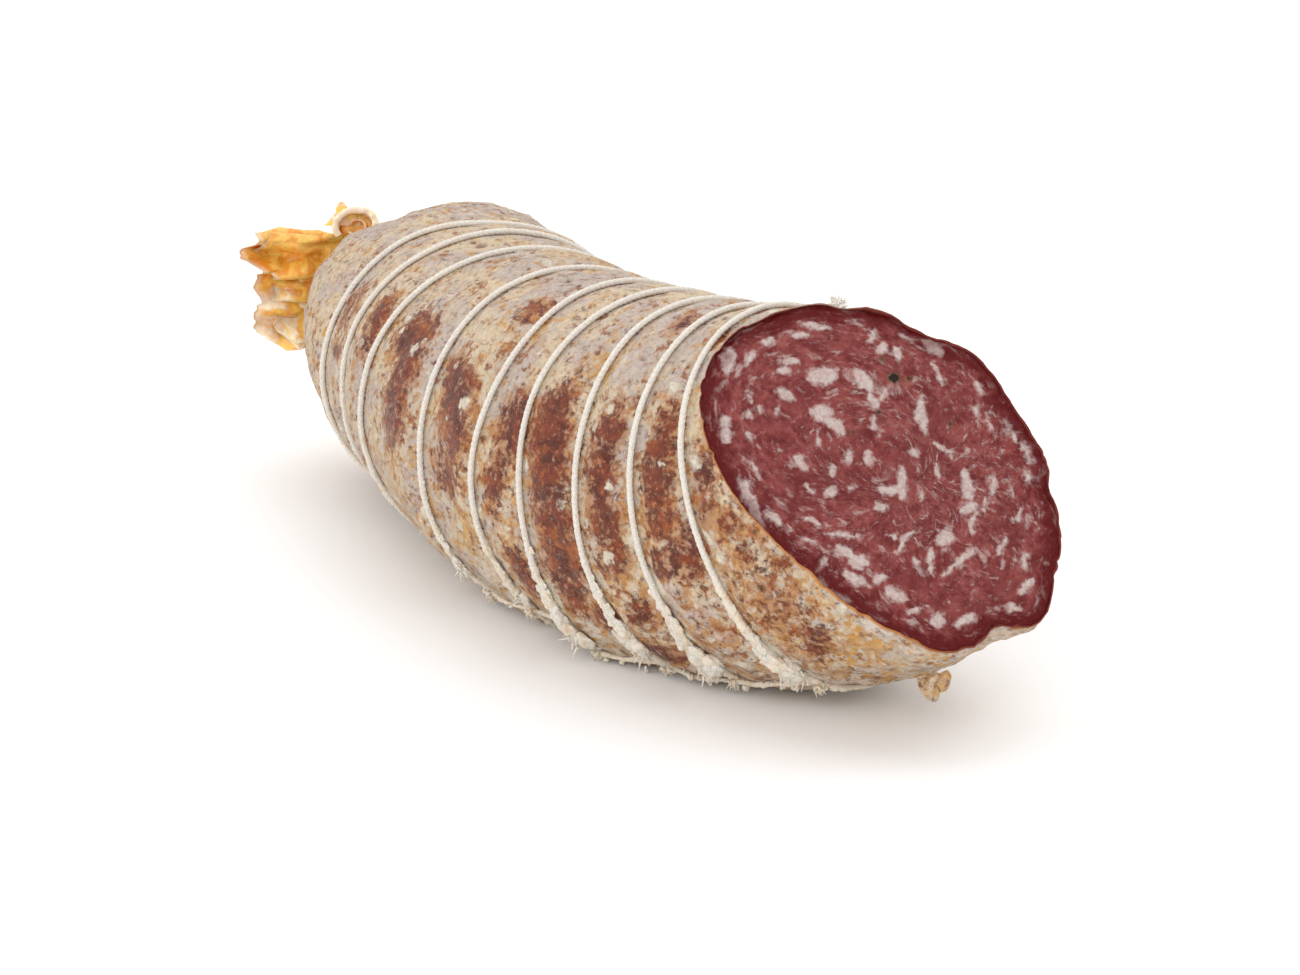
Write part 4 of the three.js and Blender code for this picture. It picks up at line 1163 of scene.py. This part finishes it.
def build_string():
    route = np.array(STRING_ROUTE)
    samples = catmull(route, np.linspace(0, 1, 560))
    place, angle = samples[:, 0], samples[:, 1] * DEG
    along = np.stack([place * BODY_LENGTH, 0 * place, 0 * place], -1)
    path = string_surface(place, angle, 0.25 + 0.3 * noise(along, 6, 411))
    piece = Piece("lengthwise_string")
    twine_body(piece, path, outward(place, angle), np.full(len(path), 0.9), False, 400, 0.5)
    # Crumbs of mould cling along it.
    for k in range(120):
        j = rng.integers(len(path))
        size = rng.uniform(0.25, 0.75) * (0.5 + place[j])
        spot = path[j] + outward(place[j], angle[j]) * -0.2 + rng.normal(size=3) * 0.8
        spot[2] = max(spot[2], 0.3 + size)
        axes = np.eye(3) * size * rng.uniform(0.6, 1.2, 3)[:, None]
        lump(piece, spot, axes, 4000 + k, 0.6, 8, cake=rng.uniform(0.3, 1.0))
    for i in range(len(LOOPS)):
        cross = np.argmin(np.abs(place - loop_place(i, angle)))
        grow = TUFT_SIZES[i]
        centre = string_surface(place[cross], angle[cross], 1.3)
        centre[2] = max(centre[2], 1.0 * grow)
        out, ahead = outward(place[cross], angle[cross]), frame_at(place[cross])[1]
        size = (1.5 * grow, 1.5 * grow, 0.9 * grow)
        tuft(piece, centre, out, ahead, size, 500 + i, int(26 * grow))
    piece.build(twine_look, "twine", "twine_lengthwise")


NECK_AHEAD = unit(np.array([-0.95, 0.28, 0.05]))
TIP = frame_at(0.0)[0]
NECK_START = TIP + NECK_AHEAD * CLEARANCE
TAIL_PATH = np.array([NECK_START, NECK_START + NECK_AHEAD * 14, TIP + np.array([-19, -29, 1])])
# How far along each station is, how far the fan reaches up and down there, its thickness and its pleats.
TAIL_STATIONS = np.array([
    (0.00, 4.6, 4.6, 4.0, 0.3), (0.12, 3.8, 3.8, 3.1, 0.3), (0.26, 6.0, 4.4, 3.0, 0.7),
    (0.48, 12.5, 9.8, 2.4, 2.0), (0.72, 13.5, 15.5, 1.6, 3.2), (0.86, 14.0, 17.0, 1.4, 3.6),
    (1.00, 14.3, 11.5, 1.1, 3.8),
])


# How far the fan's torn edge stands out, as shares of its reach, at heights from -1 to 1
TEAR_OUTLINE = [
    (-1, -0.8, -0.3, 0, 0.3, 0.5, 0.75, 1),
    (-0.02, -0.03, -0.03, -0.03, -0.03, 0.03, 0.0, -0.03),
]
SHEET_HALF_THICKNESS = 0.28
STRIP_RIM = 0.24


def tail_point(t):
    t = np.asarray(t, float)[..., None]
    a, b, c = TAIL_PATH
    return (1 - t) ** 2 * a + 2 * (1 - t) * t * b + t * t * c


def tail_frame(t):
    t = np.clip(np.asarray(t, float), 0, 1)[..., None]
    a, b, c = TAIL_PATH
    ahead = unit(2 * (1 - t) * (b - a) + 2 * t * (c - b))
    across = unit(np.cross(ahead, UP))
    return across, np.cross(across, ahead)


def tail_station(share):
    return [np.interp(share, TAIL_STATIONS[:, 0], TAIL_STATIONS[:, k]) for k in (1, 2, 3, 4)]


def build_tie(i, share):
    half, _, thick, pleat = tail_station(share)
    across = unit(np.cross(NECK_AHEAD, UP))
    rise = np.cross(across, NECK_AHEAD)
    room = CLEARANCE + TWINE_RADIUS + pleat
    angle = np.arange(110) / 110 * TURN
    out = rise * np.sin(angle)[:, None] + across * np.cos(angle)[:, None]
    path = tail_point(share) + rise * ((half + room) * np.sin(angle))[:, None]
    path = path + across * ((thick + room) * np.cos(angle))[:, None]
    piece = Piece(f"tie_turn_{i + 1}")
    twine_body(piece, path, out, np.full(len(path), 0.3), True, 600 + 10 * i)
    piece.build(twine_look, "twine", f"twine_tie_{i + 1}")


def tail_sheet(piece, q_low, q_high, reach, shift, phase, seed):
    """One folded sheet of the fan between two heights, ragged at its end."""
    rows, columns = 90, 110
    share = np.linspace(0.0, 1.0, rows)[:, None] * np.ones(columns)
    q = q_low + (q_high - q_low) * np.linspace(0, 1, columns)[None, :] * np.ones((rows, 1))
    up, down, _, pleat = tail_station(share)
    half = np.where(q > 0, up, 1.13 * down)
    key = np.stack([q * 9, share * 4 + seed, share * 0], -1)
    tear = np.interp(q, *TEAR_OUTLINE)
    tear = tear + 0.018 * noise(key, 2.4, seed) + 0.012 * noise(key, 0.8, seed + 1)
    along = np.clip(share * reach * (1 + tear * share), 0, 1.12)
    across, rise = tail_frame(along)
    fold = 0.55 * pleat * np.sin(3.4 * math.pi * q + 0.8 + share + phase)
    crease = np.stack([q * half, along * 34, along * 0 + seed * 7], -1)
    fine_ridges = 1 - 2 * np.abs(noise(crease * [1.0, 0.6, 1.0], 4.2, seed + 6))
    ridges = 1 - 2 * np.abs(noise(crease, 6.5, seed + 5)) + 0.8 * fine_ridges
    fold = fold + (2.7 * ridges + 0.45 * noise(crease, 1.8, seed + 7)) * smooth(share, 0.08, 0.45)
    middle = tail_point(along) + rise * (half * q)[..., None]
    sideways = fold * smooth(share, 0.05, 0.4) + shift * smooth(share, 0.0, 0.35)
    middle = middle + across * sideways[..., None]
    edge = np.sqrt(np.clip(1 - np.abs(np.linspace(-1, 1, columns)) ** 12, 0.02, 1))[None]
    body = SHEET_HALF_THICKNESS * (edge * smooth(1.02 - share, 0, 0.03)) + 0.03
    ring = front_and_back(middle + across * body[..., None], middle - across * body[..., None])
    amber = smooth(q + 0.25 * noise(crease, 9, seed + 9), -0.35, 0.15)
    folds = 0.75 * smooth(-ridges, -0.5, 0.9) + 0.9 * smooth(1.06 - share, 0, 0.42)
    amber = np.clip(0.12 + amber + folds * (1 - amber), 0, 1)
    rim = smooth(share, 0.93, 1.0)
    faces = sheet_faces(rows, columns)
    piece.add(ring, faces, amber=front_and_back(amber, amber), rim=front_and_back(rim, rim))


def build_tail():
    piece = Piece("casing_tail")
    tail_sheet(piece, -1.0, 1.0, 1.0, 0.0, 0.0, 3)
    tail_sheet(piece, 0.1, 0.97, 0.95, -1.3, 0.7, 14)
    tail_sheet(piece, -0.97, 0.3, 0.93, -1.2, -0.8, 25)
    tail_sheet(piece, -0.6, 0.7, 0.8, 1.2, 1.6, 36)
    # The neck, gathered under the tie.
    share = np.linspace(0, 0.34, 30)
    _, half, thick, _ = tail_station(share)
    phi = np.arange(96) / 96 * TURN
    across, rise = tail_frame(share)
    flute = 1 + 0.10 * np.sin(13 * phi) + 0.05 * np.sin(29 * phi + 1)
    fade = 1 - 0.75 * smooth(share, 0.18, 0.34)
    tall = (half * fade)[:, None] * flute * np.sin(phi)
    wide = (thick * fade)[:, None] * flute * np.cos(phi)
    rings = tail_point(share)[:, None] + rise[:, None] * tall[..., None] + across[:, None] * wide[..., None]
    piece.add(*closed_rings(rings, tail_point(0.0), tail_point(0.36)), amber=0.75, rim=0.0)
    piece.build(dry_look, "dry_casing", "casing_end")


def ribbon(piece, path, normal, width_way, width, thin, amber, seed):
    """A thin strip along a path, thick across its normal, with a rounded and slightly torn edge."""
    columns = 26
    q = np.linspace(-1, 1, columns)
    key = np.stack([np.arange(len(path)) * 0.5, np.full(len(path), seed * 1.0), np.zeros(len(path))], -1)
    left = 1 + 0.18 * noise(key, 1.6, seed)
    right = 1 + 0.18 * noise(key, 1.6, seed + 3)
    spread_q = np.where(q[None] < 0, q[None] * left[:, None], q[None] * right[:, None])
    middle = path[:, None] + width_way[:, None] * (spread_q * np.reshape(width, (-1, 1)))[..., None]
    middle = middle + normal[:, None] * (0.35 * fractal(middle, 3.0, seed + 6, 2))[..., None]
    body = thin * np.sqrt(np.clip(1 - np.abs(q) ** 8, 0.03, 1))
    thickness = normal[:, None] * body[None, :, None]
    rim = np.repeat(smooth(np.abs(q), 1 - STRIP_RIM, 1.0)[None], len(path), 0)
    ring = front_and_back(middle + thickness, middle - thickness)
    piece.add(ring, sheet_faces(len(path), columns), amber=amber, rim=front_and_back(rim, rim))


def build_curl():
    piece = Piece("curled_strip")
    centre = TIP + np.array([-10.8, -1.5, 15.2])

    def roll(start, end, wide, tall, inward, steps):
        """A coil seen end on, drawing in as it turns."""
        turn = np.linspace(start, end, steps)
        shrink = 1 - inward * smooth(turn, start, end)
        arc = centre + NEAR_RIGHT * (wide * shrink * np.cos(turn))[:, None]
        arc = arc + NEAR_UP * (tall * shrink * np.sin(turn))[:, None]
        return arc, unit(NEAR_RIGHT * np.cos(turn)[:, None] + NEAR_UP * np.sin(turn)[:, None])

    def strip(arc, normal, width_way, width, thin, amber, seed):
        normals, ways = np.broadcast_to(normal, arc.shape), np.broadcast_to(width_way, arc.shape)
        ribbon(piece, arc, normals, ways, np.broadcast_to(width, len(arc)), thin, amber, seed)

    arc, out = roll(math.pi + 0.6, -1.0, 5.6, 4.5, 0.12, 60)
    width = np.interp(np.arange(60), [0, 12, 46, 59], [2.4, 3.1, 3.1, 2.2])
    strip(arc, out, NEAR_SIDE, width, 0.85, 0.2, 71)
    arc, out = roll(-2.4, 2.6, 2.9, 2.2, 0.35, 46)
    strip(arc - NEAR_SIDE * 0.8, out, NEAR_SIDE, 2.2, 0.38, 0.95, 75)
    # An amber disc behind the coil fills its hollow, more golden than the pale outer turn in front of it.
    axes = np.array([NEAR_RIGHT * 5.2, NEAR_UP * 4.2, NEAR_SIDE * 1.0])
    lump(piece, centre - NEAR_SIDE * 1.9, axes, 79, 0.3, 24, amber=1.0, rim=0.0)
    reach = np.linspace(0, 1, 18)[:, None]
    spike = centre - NEAR_RIGHT * 3.2 - NEAR_SIDE * 1.0
    spike = spike + NEAR_UP * (0.2 + 6.2 * reach) - NEAR_RIGHT * reach ** 2 * 0.9
    strip(spike, NEAR_SIDE, NEAR_RIGHT, np.linspace(4.8, 0.6, 18), 0.35, 0.6, 83)
    piece.build(dry_look, "dry_casing", "casing_curl")


SCRAP_PLACE = 0.862
SCRAP_ANGLE = -76 * DEG
# Half widths, how far right and down from the root, and tilt
SCRAP_LOBES = [
    ((2.0, 1.7, 3.5), 1.7, 5.0, 26), ((1.5, 1.4, 2.5), 4.7, 3.6, -16), ((2.4, 1.3, 1.0), 3.0, 2.4, 12),
]
FRAY_ANGLE = 102 * DEG


def build_scrap():
    piece = Piece("hanging_scrap")
    relief = swelling(SCRAP_PLACE, SCRAP_ANGLE)
    relief = relief + rim_wave(SCRAP_PLACE, SCRAP_ANGLE, cut_place(np.array(SCRAP_ANGLE)))
    root = plain_skin(SCRAP_PLACE, SCRAP_ANGLE, relief)
    deep = np.cross(UP, NEAR_RIGHT)
    for k, (size, right, down, tilt) in enumerate(SCRAP_LOBES):
        c, s = math.cos(-tilt * DEG), math.sin(-tilt * DEG)
        x_way = NEAR_RIGHT * c + np.cross(deep, NEAR_RIGHT) * s
        z_way = UP * c + np.cross(deep, UP) * s
        axes = np.array([x_way * size[0], deep * size[1] * 0.75, z_way * size[2]])
        # The scrap is casing with ochre and a little belly tint: partly its own colour, partly painted shade
        # that darkens it where it hangs under the body.
        lump(piece, root + NEAR_RIGHT * right - UP * down, axes, 300 + k, 0.28, 26, ochre=0.75, low=0.2)
    piece.build(casing_look, "dry_casing", "casing_scrap")


def build_fray():
    piece = Piece("frayed_end")
    angle = FRAY_ANGLE
    end = cut_place(np.array(angle))
    _, ahead, _, _, speed = frame_at(end)
    place = end - 2.6 / speed
    out = outward(place, angle)
    across = np.cross(out, ahead)
    foot = string_surface(place, angle, 0.3)
    knot = np.array([ahead * 1.8, across * 2.3, out * 0.9])
    lump(piece, foot + out * 0.2, knot, 811, 0.6, 16, cake=0.3)
    for k in range(42):
        lean = unit(out + across * rng.uniform(-0.9, 0.9) + ahead * rng.uniform(-0.3, 0.7))
        start = foot + across * rng.uniform(-2.2, 2.2) + ahead * rng.uniform(-0.8, 0.8)
        hair(piece, start, lean, rng.uniform(0.8, 2.9), rng.uniform(0.12, 0.26), 900 + k, cake=0.3)
    piece.build(twine_look, "twine", "twine_fray")


build_casing()
build_meat()
for loop_index in range(len(LOOPS)):
    build_loop(loop_index)
build_string()
for tie_index, tie_share in enumerate((0.05, 0.115)):
    build_tie(tie_index, tie_share)
build_tail()
build_curl()
build_scrap()
build_fray()


# Floor, light and camera

bpy.ops.mesh.primitive_plane_add(size=6.0, location=(0, 0, 0))
floor = bpy.context.active_object
floor.name = "floor"
floor_look = bpy.data.materials.new("floor_look")
floor_look.use_nodes = True
floor_shader = floor_look.node_tree.nodes["Principled BSDF"]
floor_shader.inputs["Base Color"].default_value = (0.93, 0.925, 0.92, 1)
floor_shader.inputs["Roughness"].default_value = 0.9
floor_shader.inputs["Specular IOR Level"].default_value = 0.1
floor.data.materials.append(floor_look)


def area_lamp(name, place, target, size, power):
    bpy.ops.object.light_add(type="AREA", location=place)
    lamp = bpy.context.active_object
    lamp.name = name
    lamp.data.shape = "RECTANGLE"
    lamp.data.size, lamp.data.size_y = size
    lamp.data.energy = power
    lamp.rotation_mode = "QUATERNION"
    lamp.rotation_quaternion = (Vector(target) - Vector(place)).to_track_quat("-Z", "Y")


area_lamp("top_softbox", (-0.25, 0.42, 1.15), (0.02, 0.0, 0.03), (2.2, 1.8), 13.5)
area_lamp("near_fill", (1.1, -0.9, 0.75), (0.05, 0.0, 0.05), (1.0, 0.8), 8.0)
area_lamp("left_fill", (-0.35, -1.2, 0.6), (0.0, 0.0, 0.05), (0.9, 0.7), 4.0)

world = bpy.data.worlds.new("studio")
bpy.context.scene.world = world
world.use_nodes = True
world.node_tree.nodes["Background"].inputs["Color"].default_value = (1.0, 0.99, 0.98, 1)
world.node_tree.nodes["Background"].inputs["Strength"].default_value = 0.72
bpy.context.scene.view_settings.view_transform = "Standard"

camera_data = bpy.data.cameras.new("camera")
camera = bpy.data.objects.new("camera", camera_data)
bpy.context.scene.collection.objects.link(camera)
camera_data.sensor_width = 36.0
camera_data.lens = 36.0 * FOCAL_PIXELS / PHOTO_WIDTH
camera_data.clip_start, camera_data.clip_end = 0.05, 20
camera.location = CAMERA_PLACE * MM
camera.rotation_mode = "QUATERNION"
camera.rotation_quaternion = Vector(CAMERA_AIM).to_track_quat("-Z", "Y")
bpy.context.scene.camera = camera
